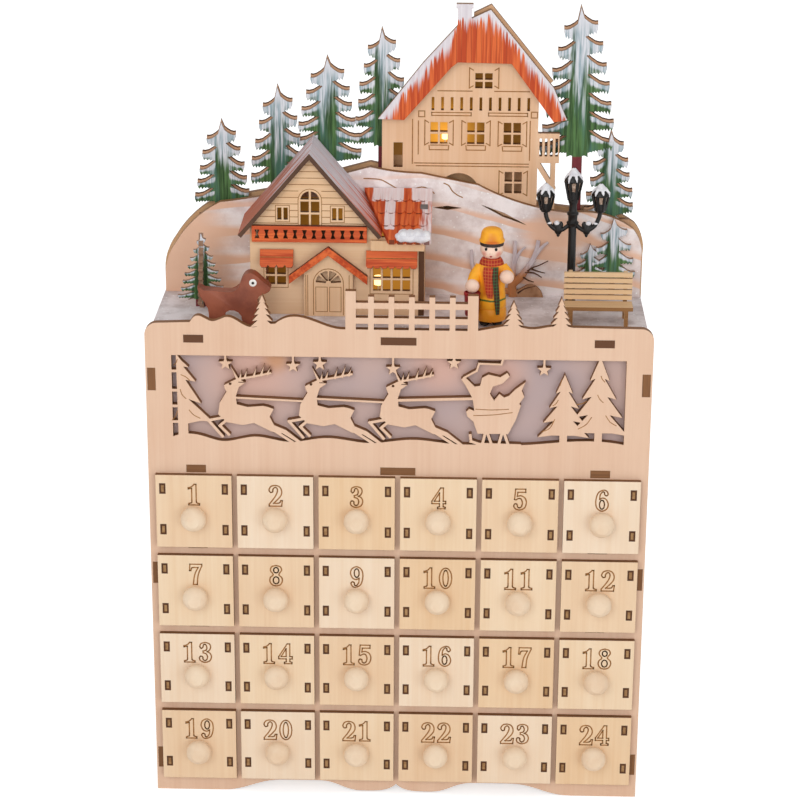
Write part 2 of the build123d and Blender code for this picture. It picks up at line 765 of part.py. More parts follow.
# Chalet, as shares of its width and of the height of the backdrop
chalet_shares = (
    (0.0, 0.0), (1.0, 0.0), (1.0, 0.46), (1.138, 0.46), (1.138, 0.562), (1.0, 0.562), (1.0, 0.7),
    (0.769, 0.835), (0.515, 0.835), (0.09, 0.632), (0.0, 0.609),
)
chalet_roof_shares = (
    (-0.024, 0.611), (0.263, 0.803), (0.476, 0.927), (0.476, 1.0), (0.564, 1.0), (0.564, 0.952), (0.683, 0.982),
    (1.09, 0.723), (1.18, 0.614), (1.096, 0.606), (0.845, 0.784), (0.819, 0.802), (0.48, 0.805), (0.44, 0.788),
    (0.142, 0.608),
)
chalet_window_shares = ((0.365, 0.56), (0.601, 0.56), (0.834, 0.56), (0.846, 0.391))
attic_window_share = (0.647, 0.739)
chalet_window_width = 9.0
chalet_window_height = 11.6
attic_window_height = 8.0
muntin = 1.1
rail_slot = 1.4
rail_slot_height = 7.0
rail_slot_pitch = 5.03
rail_slots = 11
rail_share = (0.63, 0.66)
porch_slot_height = 9.6
porch_slot_pitch = 2.8
porch_slots = 4
porch_share = (1.07, 0.514)
chalet_door_width = 4.8
chalet_door_height = 13.4
chalet_door_share = (0.104, 0.483)
arch_share = (0.495, 0.352)
arch_radius = 11.0
porch_post = 2.6
porch_post_shares = ((1.1, 0.48), (1.1, 0.28))
porch_brace_shares = ((0.98, 0.475), (1.1, 0.375))
chimney_cap = 2.4
chimney_lip = 0.8


def chalet_point(share):
    return spread([share], chalet_width, chalet_height, -chalet_left, deck_level)[0]


def cut_panes(place, width, height, across, up):
    """Panes of a window with bars between them."""
    pane_width = (width - (across - 1) * muntin) / across
    pane_height = (height - (up - 1) * muntin) / up
    with Locations(place):
        with GridLocations(pane_width + muntin, pane_height + muntin, across, up):
            Rectangle(pane_width, pane_height, mode=Mode.SUBTRACT)


with BuildPart() as chalet_front:
    with BuildSketch(wall_plane(chalet_rear_y)):
        porch_post_ends = [chalet_point(share) for share in porch_post_shares]
        porch_brace_ends = [chalet_point(share) for share in porch_brace_shares]
        facade = spread(chalet_shares, chalet_width, chalet_height, -chalet_left, deck_level)
        add(polygons([facade, bar(*porch_post_ends, porch_post), bar(*porch_brace_ends, porch_post)]))
        for share in chalet_window_shares:
            cut_panes(chalet_point(share), chalet_window_width, chalet_window_height, 2, 2)
        cut_panes(chalet_point(attic_window_share), chalet_window_width, attic_window_height, 2, 2)
        with Locations(chalet_point(rail_share)):
            with GridLocations(rail_slot_pitch, 0, rail_slots, 1):
                Rectangle(rail_slot, rail_slot_height, mode=Mode.SUBTRACT)
        with Locations(chalet_point(porch_share)):
            with GridLocations(porch_slot_pitch, 0, porch_slots, 1):
                Rectangle(rail_slot, porch_slot_height, mode=Mode.SUBTRACT)
        with Locations(chalet_point(chalet_door_share)):
            Rectangle(chalet_door_width, chalet_door_height, mode=Mode.SUBTRACT)
        with Locations(chalet_point(arch_share)):
            Circle(arch_radius, mode=Mode.SUBTRACT)
    extrude(amount=sheet)
chalet_front.part.label = "chalet_front"
export_step(chalet_front.part, "parts/chalet_front.step")

with BuildPart() as chalet_roof:
    with BuildSketch(wall_plane(hill_rear_y)):
        roof_line = spread(chalet_roof_shares, chalet_width, chalet_height, -chalet_left, deck_level)
        (chimney_left, _), (chimney_right, chimney_top) = roof_line[3:5]
        cap_left, cap_right = chimney_left - chimney_lip, chimney_right + chimney_lip
        cap_level = chimney_top - chimney_cap
        cap = [(cap_left, cap_level), (cap_right, cap_level), (cap_right, chimney_top), (cap_left, chimney_top)]
        add(polygons([roof_line, cap]))
    extrude(amount=sheet)
chalet_roof.part.label = "chalet_roof"
export_step(chalet_roof.part, "parts/chalet_roof.step")

# Cottage front: a gable with an annex at its right
cottage_front_y = front_y + cottage_setback
cottage_rear_y = cottage_front_y + thin_sheet
house_rear_y = hill_front_y - wall_gap
roof_front_y = cottage_front_y - roof_overhang
house_left = -cottage_offset - cottage_half
apex_z = deck_level + cottage_apex
pitch = tan(radians(cottage_slope))
eave_z = apex_z - cottage_half * pitch
annex_top = deck_level + annex_height
annex_rise = tan(radians(annex_slope))
annex_edge_z = annex_top - roof_overhang * annex_rise

arch_window_width = 9.8
arch_window_height = 18.6
arch_window_sill = 47.8
small_window_width = 5.4
small_window_height = 6.4
small_window_level = 54.4
small_window_offset = 14.2
ground_window_width = 10.4
ground_window_height = 9.8
ground_window_level = 21.2
ground_window_offset = 17.9
wide_window_width = 19.4
wide_window_height = 12.8
wide_window_level = 19.8
wide_window_x = -4.8

with BuildPart() as cottage_front:
    with BuildSketch(wall_plane(cottage_rear_y)):
        valley_x = -cottage_offset + (apex_z - annex_top) / pitch
        Polygon(
            (house_left, deck_level), (annex_right, deck_level), (annex_right, annex_top), (valley_x, annex_top),
            (-cottage_offset, apex_z), (house_left, eave_z), align=None,
        )
        sill = deck_level + arch_window_sill
        arch_half = arch_window_width / 2
        arch_spring = sill + arch_window_height - arch_half
        with BuildLine():
            Line((-cottage_offset - arch_half, sill), (-cottage_offset + arch_half, sill))
            Line((-cottage_offset + arch_half, sill), (-cottage_offset + arch_half, arch_spring))
            CenterArc((-cottage_offset, arch_spring), arch_half, 0, 180)
            Line((-cottage_offset - arch_half, arch_spring), (-cottage_offset - arch_half, sill))
        make_face(mode=Mode.SUBTRACT)
        with Locations((-cottage_offset, sill + arch_window_height / 2)):
            Rectangle(muntin, arch_window_height)
        bar_step = (arch_spring - sill) / 2
        with Locations((-cottage_offset, sill + bar_step), (-cottage_offset, arch_spring)):
            Rectangle(arch_window_width, muntin)
        for side in (-1, 1):
            place = (-cottage_offset + side * small_window_offset, deck_level + small_window_level)
            cut_panes(place, small_window_width, small_window_height, 2, 1)
        ground_place = (-cottage_offset - ground_window_offset, deck_level + ground_window_level)
        cut_panes(ground_place, ground_window_width, ground_window_height, 2, 2)
        cut_panes((wide_window_x, deck_level + wide_window_level), wide_window_width, wide_window_height, 4, 2)
    extrude(amount=thin_sheet)
cottage_front.part.label = "cottage_front"
export_step(cottage_front.part, "parts/cottage_front.step")

# Cottage side walls and the beam under the annex roof
beam_left = -cottage_offset + cottage_half + seat_gap
beam_right = annex_right + thin_sheet
with BuildPart() as left_wall:
    with BuildSketch(Plane.YZ.offset(house_left)):
        Polygon(
            (cottage_rear_y, deck_level), (house_rear_y, deck_level), (house_rear_y, eave_z), (cottage_rear_y, eave_z),
            align=None,
        )
    extrude(amount=thin_sheet)

with BuildPart() as right_wall:
    with BuildSketch(Plane.YZ.offset(annex_right)):
        front_height = annex_edge_z + (cottage_front_y - roof_front_y) * annex_rise
        rear_height = annex_edge_z + (house_rear_y - roof_front_y) * annex_rise
        Polygon(
            (cottage_front_y, deck_level), (house_rear_y, deck_level), (house_rear_y, rear_height),
            (cottage_front_y, front_height), align=None,
        )
    extrude(amount=thin_sheet)

with BuildPart() as annex_beam:
    with BuildSketch(wall_plane(cottage_front_y)):
        beam_top = annex_edge_z + (cottage_front_y - thin_sheet - roof_front_y) * annex_rise
        Polygon(
            (beam_left, beam_top - annex_beam_height), (beam_right, beam_top - annex_beam_height),
            (beam_right, beam_top), (beam_left, beam_top), align=None,
        )
    extrude(amount=thin_sheet)

cottage_walls = Compound(label="cottage_walls", children=[left_wall.part, right_wall.part, annex_beam.part])
export_step(cottage_walls, "parts/cottage_walls.step")

# Cottage roof: two boards mitred at the ridge
run = roof_length * cos(radians(cottage_slope))
fall = roof_length * sin(radians(cottage_slope))
edge_out = roof_sheet * sin(radians(cottage_slope))
edge_up = roof_sheet * cos(radians(cottage_slope))
ridge_z = apex_z + roof_sheet / cos(radians(cottage_slope))
roof_boards = []
for side in (-1, 1):
    with BuildPart() as roof_board:
        with BuildSketch(wall_plane(house_rear_y)):
            Polygon(
                (-cottage_offset, apex_z), (-cottage_offset + side * run, apex_z - fall),
                (-cottage_offset + side * (run + edge_out), apex_z - fall + edge_up), (-cottage_offset, ridge_z),
                align=None,
            )
        extrude(amount=house_rear_y - roof_front_y)
    roof_boards.append(roof_board.part)
cottage_roof = Compound(label="cottage_roof", children=roof_boards)
export_step(cottage_roof, "parts/cottage_roof.step")

# Annex roof: a board leaning back to the hill, with a toothed lower edge
annex_tiles = 5
roof_depth = (house_rear_y - roof_front_y) / cos(radians(annex_slope))


def annex_left(along):
    """Where the annex roof meets the large roof, at a distance up its slope."""
    level = annex_edge_z + along * sin(radians(annex_slope))
    return -cottage_offset + (ridge_z - level) / pitch + seat_gap


annex_plane = Plane(
    origin=(0, roof_front_y, annex_edge_z), x_dir=(1, 0, 0),
    z_dir=(0, -sin(radians(annex_slope)), cos(radians(annex_slope))),
)
with BuildPart() as annex_roof:
    with BuildSketch(annex_plane):
        tile_edge = toothed(annex_left(0), annex_roof_right - annex_left(0), annex_tiles)
        Polygon(*tile_edge, (annex_roof_right, roof_depth), (annex_left(roof_depth), roof_depth), align=None)
    extrude(amount=thin_sheet)
annex_roof.part.label = "annex_roof"
export_step(annex_roof.part, "parts/annex_roof.step")

# Balcony rail with a row of hourglass holes
rail_left = 30.1
rail_right = 29.6
rail_height = 8.6
rail_bottom = 39.9
hourglass = 2.5
hourglass_height = 4.6
hourglass_waist_share = 0.35
hourglasses = 12
hourglass_pitch = 4.92
with BuildPart() as balcony_rail:
    with BuildSketch(wall_plane(cottage_front_y)):
        rail_middle = deck_level + rail_bottom + rail_height / 2
        rail_centre = -cottage_offset + (rail_right - rail_left) / 2
        with Locations((rail_centre, rail_middle)):
            Rectangle(rail_left + rail_right, rail_height)
            with GridLocations(hourglass_pitch, 0, hourglasses, 1):
                half, waist = hourglass / 2, hourglass / 2 * hourglass_waist_share
                tall = hourglass_height / 2
                Polygon(
                    (-half, -tall), (half, -tall), (waist, 0), (half, tall), (-half, tall), (-waist, 0),
                    align=None, mode=Mode.SUBTRACT,
                )
    extrude(amount=thin_sheet)
balcony_rail.part.label = "balcony_rail"
export_step(balcony_rail.part, "parts/balcony_rail.step")

# Porch: a front with a fanlight over its double door, and a roof of two strips
porch_offset = 37.6
porch_half = 12.8
porch_eave = 24.0
porch_apex = 36.0
porch_strip = 4.4
porch_run = 20.4
porch_drop = 15.6
fan_radius = 6.6
fan_hub = 1.4
fan_level = 18.0
fan_lights = 4
fan_bar_degrees = 9.0
with BuildPart() as porch_front:
    with BuildSketch(wall_plane(cottage_front_y)):
        Polygon(
            (-porch_offset - porch_half, deck_level), (-porch_offset + porch_half, deck_level),
            (-porch_offset + porch_half, deck_level + porch_eave), (-porch_offset, deck_level + porch_apex),
            (-porch_offset - porch_half, deck_level + porch_eave), align=None,
        )
        hub = (-porch_offset, deck_level + fan_level)
        sweep_degrees = 180 / fan_lights - fan_bar_degrees
        for light in range(fan_lights):
            start_degrees = 180 / fan_lights * light + fan_bar_degrees / 2
            with BuildLine():
                outer = CenterArc(hub, fan_radius, start_degrees, sweep_degrees)
                inner = CenterArc(hub, fan_hub, start_degrees, sweep_degrees)
                Line(outer @ 0, inner @ 0)
                Line(outer @ 1, inner @ 1)
            make_face(mode=Mode.SUBTRACT)
    extrude(amount=thin_sheet)
porch_front.part.label = "porch_front"
export_step(porch_front.part, "parts/porch_front.step")

with BuildPart() as porch_roof:
    with BuildSketch(wall_plane(cottage_front_y - thin_sheet)):
        top = deck_level + porch_apex + porch_strip / 2
        low = top - porch_drop
        Polygon(
            (-porch_offset, top), (-porch_offset - porch_run, low), (-porch_offset - porch_run, low - porch_strip),
            (-porch_offset, top - porch_strip), (-porch_offset + porch_run, low - porch_strip),
            (-porch_offset + porch_run, low), align=None,
        )
    extrude(amount=thin_sheet)
porch_roof.part.label = "porch_roof"
export_step(porch_roof.part, "parts/porch_roof.step")

# Awnings: leaning boards with toothed lower edges
awning_left_x = -73.2
awning_left_width = 17.4
awning_right_x = -18.0
awning_right_width = 26.6
awning_length = 8.2
awning_lean = 24.0
awning_sheet = 1.5
awning_tooth = 4.0
awning_out = awning_length * sin(radians(awning_lean))
awning_rise = awning_length * cos(radians(awning_lean)) + awning_sheet * sin(radians(awning_lean))
awning_foot_z = beam_top - annex_beam_height - seat_gap - awning_rise
awning_boards = []
for left, width in ((awning_left_x, awning_left_width), (awning_right_x, awning_right_width)):
    awning_plane = Plane(
        origin=(left, cottage_front_y - awning_out, awning_foot_z), x_dir=(1, 0, 0),
        z_dir=(0, -cos(radians(awning_lean)), sin(radians(awning_lean))),
    )
    count = round(width / awning_tooth)
    with BuildPart() as awning:
        with BuildSketch(awning_plane):
            Polygon(*toothed(0, width, count), (width, awning_length), (0, awning_length), align=None)
        extrude(amount=awning_sheet)
    awning_boards.append(awning.part)
awnings = Compound(label="awnings", children=awning_boards)
export_step(awnings, "parts/awnings.step")

# Lamp post: one moulded piece with three lanterns
street_inset = 40.6
street_depth_share = 0.612
street_height = 58.0
street_radius = 2.3
street_sides = 6
street_foot_radius = 5.0
street_foot_height = 4.0
street_collar_radius = 3.3
street_collar_level = 46.0
street_collar_height = 4.0
arm_width = 2.2
arm_reach = 14.3
arm_level = 48.0
arm_drop = 6.0
arm_shares = ((0.0, 0.0), (0.2, -0.62), (0.5, -1.0), (0.8, -0.55), (1.0, 0.75))
lantern_waist = 2.4
lantern_shoulder = 4.3
lantern_eave = 5.0
lantern_tip = 0.8
lantern_sides = 6
lantern_body = 9.0
lantern_cap = 6.2
top_lantern_body = 11.0
top_lantern_cap = 7.0
street_x = case_width / 2 - street_inset
street_y = front_y + case_depth * street_depth_share


def lantern(x, foot, body, cap):
    """A six-sided lantern that widens to its shoulders, under a pointed cap."""
    lantern_plane = Plane((x, street_y, foot))
    turned(lantern_plane, ((0, lantern_waist), (body, lantern_shoulder)), lantern_sides)
    turned(lantern_plane, ((body, lantern_eave), (body + cap, lantern_tip)), lantern_sides)


with BuildPart() as lamp_post:
    street_plane = Plane((street_x, street_y, deck_level))
    turned(street_plane, ((0, street_foot_radius), (street_foot_height, street_radius)), street_sides)
    turned(street_plane, ((0, street_radius), (street_height, street_radius)), street_sides)
    collar_top = street_collar_level + street_collar_height
    turned(street_plane, ((street_collar_level, street_collar_radius), (collar_top, street_radius)), street_sides)
    for side in (-1, 1):
        arm = spread(arm_shares, side * arm_reach, arm_drop, street_x, deck_level + arm_level)
        with BuildSketch(wall_plane(street_y + arm_width / 2)):
            add(polygons(strips(arm, arm_width)))
        extrude(amount=arm_width)
        lantern(*arm[-1], lantern_body, lantern_cap)
    lantern(street_x, deck_level + street_height, top_lantern_body, top_lantern_cap)
lamp_post.part.label = "lamp_post"
export_step(lamp_post.part, "parts/lamp_post.step")

# Bench: slats on two leg frames
bench_inset = 27.3
bench_setback = 23.5
bench_width = 35.4
bench_depth = 16.4
bench_sheet = 2.0
bench_leg = 3.0
bench_rail_top = 8.2
bench_rail = 2.6
bench_back_top = 25.4
bench_frame_inset = 3.4
seat_slats = 4
seat_slat = 3.0
back_slats = 5
back_slat = 2.3
bench_x = case_width / 2 - bench_inset
bench_front_y = front_y + bench_setback
bench_rear_y = bench_front_y + bench_depth
bench_back_y = bench_rear_y - bench_leg
bench_pieces = []
for side in (-1, 1):
    frame_x = bench_x + side * (bench_width / 2 - bench_frame_inset)
    with BuildPart() as leg_frame:
        with BuildSketch(Plane.YZ.offset(frame_x - bench_sheet / 2)):
            rail_top = deck_level + bench_rail_top
            back_top = deck_level + bench_back_top
            Polygon(
                (bench_front_y, deck_level), (bench_front_y + bench_leg, deck_level),
                (bench_front_y + bench_leg, rail_top - bench_rail), (bench_back_y, rail_top - bench_rail),
                (bench_back_y, deck_level), (bench_rear_y, deck_level), (bench_rear_y, back_top),
                (bench_back_y, back_top), (bench_back_y, rail_top), (bench_front_y, rail_top), align=None,
            )
        extrude(amount=bench_sheet)
    bench_pieces.append(leg_frame.part)

seat_run = bench_back_y - bench_sheet - bench_front_y
seat_pitch = (seat_run - seat_slat) / (seat_slats - 1)
for slat in range(seat_slats):
    with BuildPart() as seat_board:
        with BuildSketch(Plane.XY.offset(deck_level + bench_rail_top)):
            with Locations((bench_x, bench_front_y + seat_slat / 2 + slat * seat_pitch)):
                Rectangle(bench_width, seat_slat)
        extrude(amount=bench_sheet)
    bench_pieces.append(seat_board.part)

back_run = bench_back_top - bench_rail_top - bench_sheet
back_pitch = back_run / back_slats
for slat in range(back_slats):
    with BuildPart() as back_board:
        with BuildSketch(wall_plane(bench_back_y)):
            with Locations((bench_x, deck_level + bench_back_top - back_slat / 2 - slat * back_pitch)):
                Rectangle(bench_width, back_slat)
        extrude(amount=bench_sheet)
    bench_pieces.append(back_board.part)
bench = Compound(label="bench", children=bench_pieces)
export_step(bench, "parts/bench.step")

# Figure of turned pieces: shoes, coat with arms, hands, head, cap and a basket
figure_x = 47.0
figure_setback = 26.0
figure_sides = 10
small_sides = 6
shoe_height = 3.0
shoe_width = 5.6
shoe_length = 9.2
shoe_offset = 3.3
coat_height = 32.0
coat_hem = 8.4
coat_ring_shares = ((0.0, 1.0), (0.5, 0.84), (0.84, 0.92), (1.0, 0.45))
arm_thick = 3.2
arm_thin = 2.5
arm_root_shares = (0.62, 0.8)
hand_radius = 3.8
hand_ring_shares = ((-0.92, 0.4), (-0.45, 0.9), (0.0, 1.0), (0.45, 0.9), (0.92, 0.4))
right_hand_shares = (-1.17, -0.96, 0.606)
left_hand_shares = (0.927, -1.02, 0.769)
head_radius = 6.2
head_height = 9.4
head_ring_shares = ((0.0, 0.66), (0.3, 0.97), (0.62, 1.0), (1.0, 0.8))
cap_brim = 6.9
cap_height = 7.4
cap_ring_shares = ((0.0, 1.0), (0.18, 1.0), (0.2, 0.9), (0.62, 0.76), (1.0, 0.3))
basket_top = 19.6
basket_height = 12.6
basket_radius = 4.2
basket_foot_radius = 3.5
figure_y = front_y + figure_setback
figure_plane = Plane((figure_x, figure_y, deck_level))
hands = []
for across, forward, up in (right_hand_shares, left_hand_shares):
    hands.append((coat_hem * across, coat_hem * forward, shoe_height + coat_height * up))
figure_pieces = []
with BuildPart() as shoes:
    with BuildSketch(figure_plane):
        with Locations((-shoe_offset, -shoe_length / 4), (shoe_offset, -shoe_length / 4)):
            Rectangle(shoe_width, shoe_length)
    extrude(amount=shoe_height)
figure_pieces += shoes.part.solids()

with BuildPart() as coat:
    coat_rings = [(shoe_height + coat_height * up, coat_hem * wide) for up, wide in coat_ring_shares]
    turned(figure_plane, coat_rings, figure_sides)
    for hand, side in zip(hands, (-1, 1)):
        shoulder = (side * coat_hem * arm_root_shares[0], 0, shoe_height + coat_height * arm_root_shares[1])
        root, tip = figure_plane.from_local_coords(Vector(shoulder)), figure_plane.from_local_coords(Vector(hand))
        turned(Plane(root, z_dir=tip - root), ((0, arm_thick), ((tip - root).length, arm_thin)), small_sides)
figure_pieces.append(coat.part)

for hand in hands:
    with BuildPart() as palm:
        hand_plane = Plane(figure_plane.from_local_coords(Vector(hand)))
        hand_rings = [(hand_radius * up, hand_radius * wide) for up, wide in hand_ring_shares]
        turned(hand_plane, hand_rings, small_sides)
        split(bisect_by=figure_plane.offset(basket_top), keep=Keep.TOP)
        add(coat.part, mode=Mode.SUBTRACT)
    figure_pieces.append(palm.part)

neck = shoe_height + coat_height
with BuildPart() as head:
    head_rings = [(neck + head_height * up, head_radius * wide) for up, wide in head_ring_shares]
    turned(figure_plane, head_rings, figure_sides)
figure_pieces.append(head.part)

brow = neck + head_height
with BuildPart() as cap:
    cap_rings = [(brow + cap_height * up, cap_brim * wide) for up, wide in cap_ring_shares]
    turned(figure_plane, cap_rings, figure_sides)
figure_pieces.append(cap.part)

with BuildPart() as basket:
    basket_plane = Plane(figure_plane.from_local_coords(Vector(*hands[0][:2], basket_top - basket_height)))
    turned(basket_plane, ((0, basket_foot_radius), (basket_height, basket_radius)), small_sides)
figure_pieces.append(basket.part)
figure = Compound(label="figure", children=figure_pieces)
export_step(figure, "parts/figure.step")

# Dog: a carved board
dog_inset = 26.0
dog_setback = 24.0
dog_length = 37.5
dog_height = 28.4
dog_depth = 8.0
dog_shares = (
    (0.0, 0.74), (0.08, 0.64), (0.18, 0.66), (0.5, 0.64), (0.58, 0.8), (0.63, 0.95), (0.7, 1.0), (0.79, 0.98),
    (0.99, 0.72), (0.97, 0.62), (0.8, 0.56), (0.82, 0.34), (0.79, 0.0), (0.62, 0.0), (0.58, 0.27), (0.37, 0.28),
    (0.34, 0.0), (0.16, 0.0), (0.13, 0.38), (0.03, 0.53),
)
with BuildPart() as dog:
    with BuildSketch(wall_plane(front_y + dog_setback)):
        dog_x = dog_inset - case_width / 2
        Polygon(*spread(dog_shares, dog_length, dog_height, dog_x, deck_level), align=None)
    extrude(amount=dog_depth)
dog.part.label = "dog"
export_step(dog.part, "parts/dog.step")

# Fir of two sheets slotted into each other
cross_tree_offset = 0.95
cross_tree_depth_share = 0.5464
cross_tree_height = 40.0
cross_tree_half = 13.4
cross_tree_sheet = 2.4
cross_tree_trunk = 3.4
cross_tree_tiers = 5
cross_tree_x = (house_left - case_width / 2) / 2 - cross_tree_offset
cross_tree_y = front_y + case_depth * cross_tree_depth_share
cross_outline = snowy_fir(0, 0, cross_tree_height, cross_tree_half, cross_tree_tiers, cross_tree_trunk)
cross_slot = cross_tree_sheet + 2 * joint_gap
tree_planes = (
    Plane((cross_tree_x, cross_tree_y + cross_tree_sheet / 2, deck_level), x_dir=(1, 0, 0), z_dir=(0, -1, 0)),
    Plane((cross_tree_x - cross_tree_sheet / 2, cross_tree_y, deck_level), x_dir=(0, 1, 0), z_dir=(1, 0, 0)),
)
tree_halves = []
for tree_plane, slot_middle in zip(tree_planes, (cross_tree_height * 3 / 4, cross_tree_height / 4)):
    with BuildPart() as tree_half:
        with BuildSketch(tree_plane):
            Polygon(*cross_outline, align=None)
            with Locations((0, slot_middle)):
                Rectangle(cross_slot, cross_tree_height / 2 + joint_gap, mode=Mode.SUBTRACT)
        extrude(amount=cross_tree_sheet)
    tree_halves.append(tree_half.part)
cross_tree = Compound(label="cross_tree", children=tree_halves)
export_step(cross_tree, "parts/cross_tree.step")

# Bare bush cut from sheet
bush_left = 35.6
bush_width = 42.6
bush_height = 33.0
twig = 2.0
bush_root_shares = ((0.36, 0.0), (0.94, 0.0), (0.86, 0.2), (0.7, 0.14), (0.5, 0.22))
twig_shares = (
    ((0.58, 0.08), (0.42, 0.36)), ((0.42, 0.36), (0.05, 0.82)), ((0.42, 0.36), (0.55, 0.95)),
    ((0.6, 0.08), (0.74, 0.5)), ((0.74, 0.5), (0.86, 0.96)), ((0.74, 0.5), (0.98, 0.66)),
    ((0.66, 0.14), (0.98, 0.36)), ((0.5, 0.14), (0.18, 0.42)), ((0.48, 0.66), (0.66, 0.84)),
)
with BuildPart() as bush:
    with BuildSketch(wall_plane(hill_front_y - seat_gap)):
        root = spread(bush_root_shares, bush_width, bush_height, bush_left, deck_level)
        twigs = [bar(*spread(line, bush_width, bush_height, bush_left, deck_level), twig) for line in twig_shares]
        add(polygons([root] + twigs))
    extrude(amount=thin_sheet)
bush.part.label = "bush"
export_step(bush.part, "parts/bush.step")

# Light string: lamps on blocks behind the window, one lamp in the cottage and one in the chalet
block_height = 4.0
lamp_length = 5.0
lamp_rows = []
block_middle = light_floor_top + block_height / 2
for index, x in enumerate(lamp_places):
    with BuildPart() as block:
        with BuildSketch(Plane.XY.offset(light_floor_top)):
            with Locations((x, lamp_y)):
                Rectangle(lamp_block, lamp_block)
        extrude(amount=block_height)
        with BuildSketch(wall_plane(lamp_y - lamp_block / 2)):
            with Locations((x, block_middle)):
                RegularPolygon(lamp_dome, lamp_sides)
        extrude(amount=lamp_length)
    lamp_rows.append(block.part)
    if index > 0:
        with BuildPart() as link:
            with BuildSketch(Plane.YZ.offset(x - lamp_pitch + lamp_block / 2)):
                with Locations((lamp_y, block_middle)):
                    RegularPolygon(wire / 2, wire_sides)
            extrude(amount=lamp_pitch - lamp_block)
        lamp_rows.append(link.part)

lead_x = lamp_places[3]
with BuildPart() as lead:
    with BuildSketch(wall_plane(battery_box_front)):
        with Locations((lead_x, block_middle)):
            RegularPolygon(wire / 2, wire_sides)
    extrude(amount=battery_box_front - lamp_y - lamp_block / 2)
lamp_rows.append(lead.part)

battery_box_top = light_floor_top + battery_box_height
block_top = light_floor_top + block_height
risers = (
    (cottage_lamp_x, lamp_y, block_top, deck_level + cottage_light_rise, cottage_lamp_radius),
    (chalet_light_x, chalet_lamp_y, battery_box_top, deck_level + chalet_light_rise, lamp_dome),
)
for x, y, foot, lamp_middle, lamp_radius in risers:
    with BuildPart() as riser:
        with BuildSketch(Plane((x, y, foot))):
            RegularPolygon(wire / 2, wire_sides)
        extrude(amount=lamp_middle - lamp_radius - foot)
    lamp_rows.append(riser.part)
    with BuildPart() as house_lamp:
        with BuildSketch(Plane((x, y, lamp_middle - lamp_radius))):
            RegularPolygon(lamp_radius, lamp_sides)
        extrude(amount=2 * lamp_radius)
    lamp_rows.append(house_lamp.part)
light_string = Compound(label="light_string", children=lamp_rows)
export_step(light_string, "parts/light_string.step")

# Battery box with its switch well, set into the back panel
bay_x = battery_box_left + box_wall + battery_bay / 2
switch_x = battery_box_left + 2 * box_wall + battery_bay + switch_bay / 2
stem_height = 3.0
with BuildPart() as battery_box:
    with BuildSketch(wall_plane(rear_y)):
        with Locations((0, battery_box_level)):
            Rectangle(battery_box_width, battery_box_height)
    extrude(amount=battery_box_depth)
    with BuildSketch(wall_plane(rear_y)):
        with Locations((bay_x, battery_box_level)):
            Rectangle(battery_bay, bay_height)
    extrude(amount=battery_box_depth - box_wall, mode=Mode.SUBTRACT)
    with BuildSketch(wall_plane(rear_y)):
        with Locations((switch_x, battery_box_level)):
            Rectangle(switch_bay, bay_height)
    extrude(amount=switch_recess, mode=Mode.SUBTRACT)
    with BuildSketch(wall_plane(rear_y - switch_recess)):
        with Locations((switch_x, battery_box_level)):
            Rectangle(switch_travel + switch_stem + 2 * running_gap, stem_height + 2 * running_gap)
    extrude(amount=switch_stem + running_gap, mode=Mode.SUBTRACT)
battery_box.part.label = "battery_box"
export_step(battery_box.part, "parts/battery_box.step")

with BuildPart() as battery_cover:
    with BuildSketch(wall_plane(rear_y)):
        with Locations((bay_x, battery_box_level)):
            Rectangle(battery_bay - 2 * cover_gap, bay_height - 2 * cover_gap)
    extrude(amount=cover)
    with BuildSketch(wall_plane(rear_y)):
        with Locations((bay_x + battery_bay / 3, battery_box_level)):
            Rectangle(grip_width, grip_height)
    extrude(amount=grip_depth, mode=Mode.SUBTRACT)
battery_cover.part.label = "battery_cover"
export_step(battery_cover.part, "parts/battery_cover.step")

switch_off_x = switch_x - switch_travel / 2
switch_rear_y = rear_y - (switch_recess - switch_depth) / 2
with BuildPart() as switch_slider:
    with BuildSketch(wall_plane(switch_rear_y)):
        with Locations((switch_off_x, battery_box_level)):
            Rectangle(switch_knob, switch_height)
    extrude(amount=switch_depth)
    with BuildSketch(wall_plane(switch_rear_y - switch_depth)):
        with Locations((switch_off_x, battery_box_level)):
            Rectangle(switch_stem, stem_height)
    extrude(amount=switch_stem)
switch_slider.part.label = "switch_slider"
export_step(switch_slider.part, "parts/switch_slider.step")

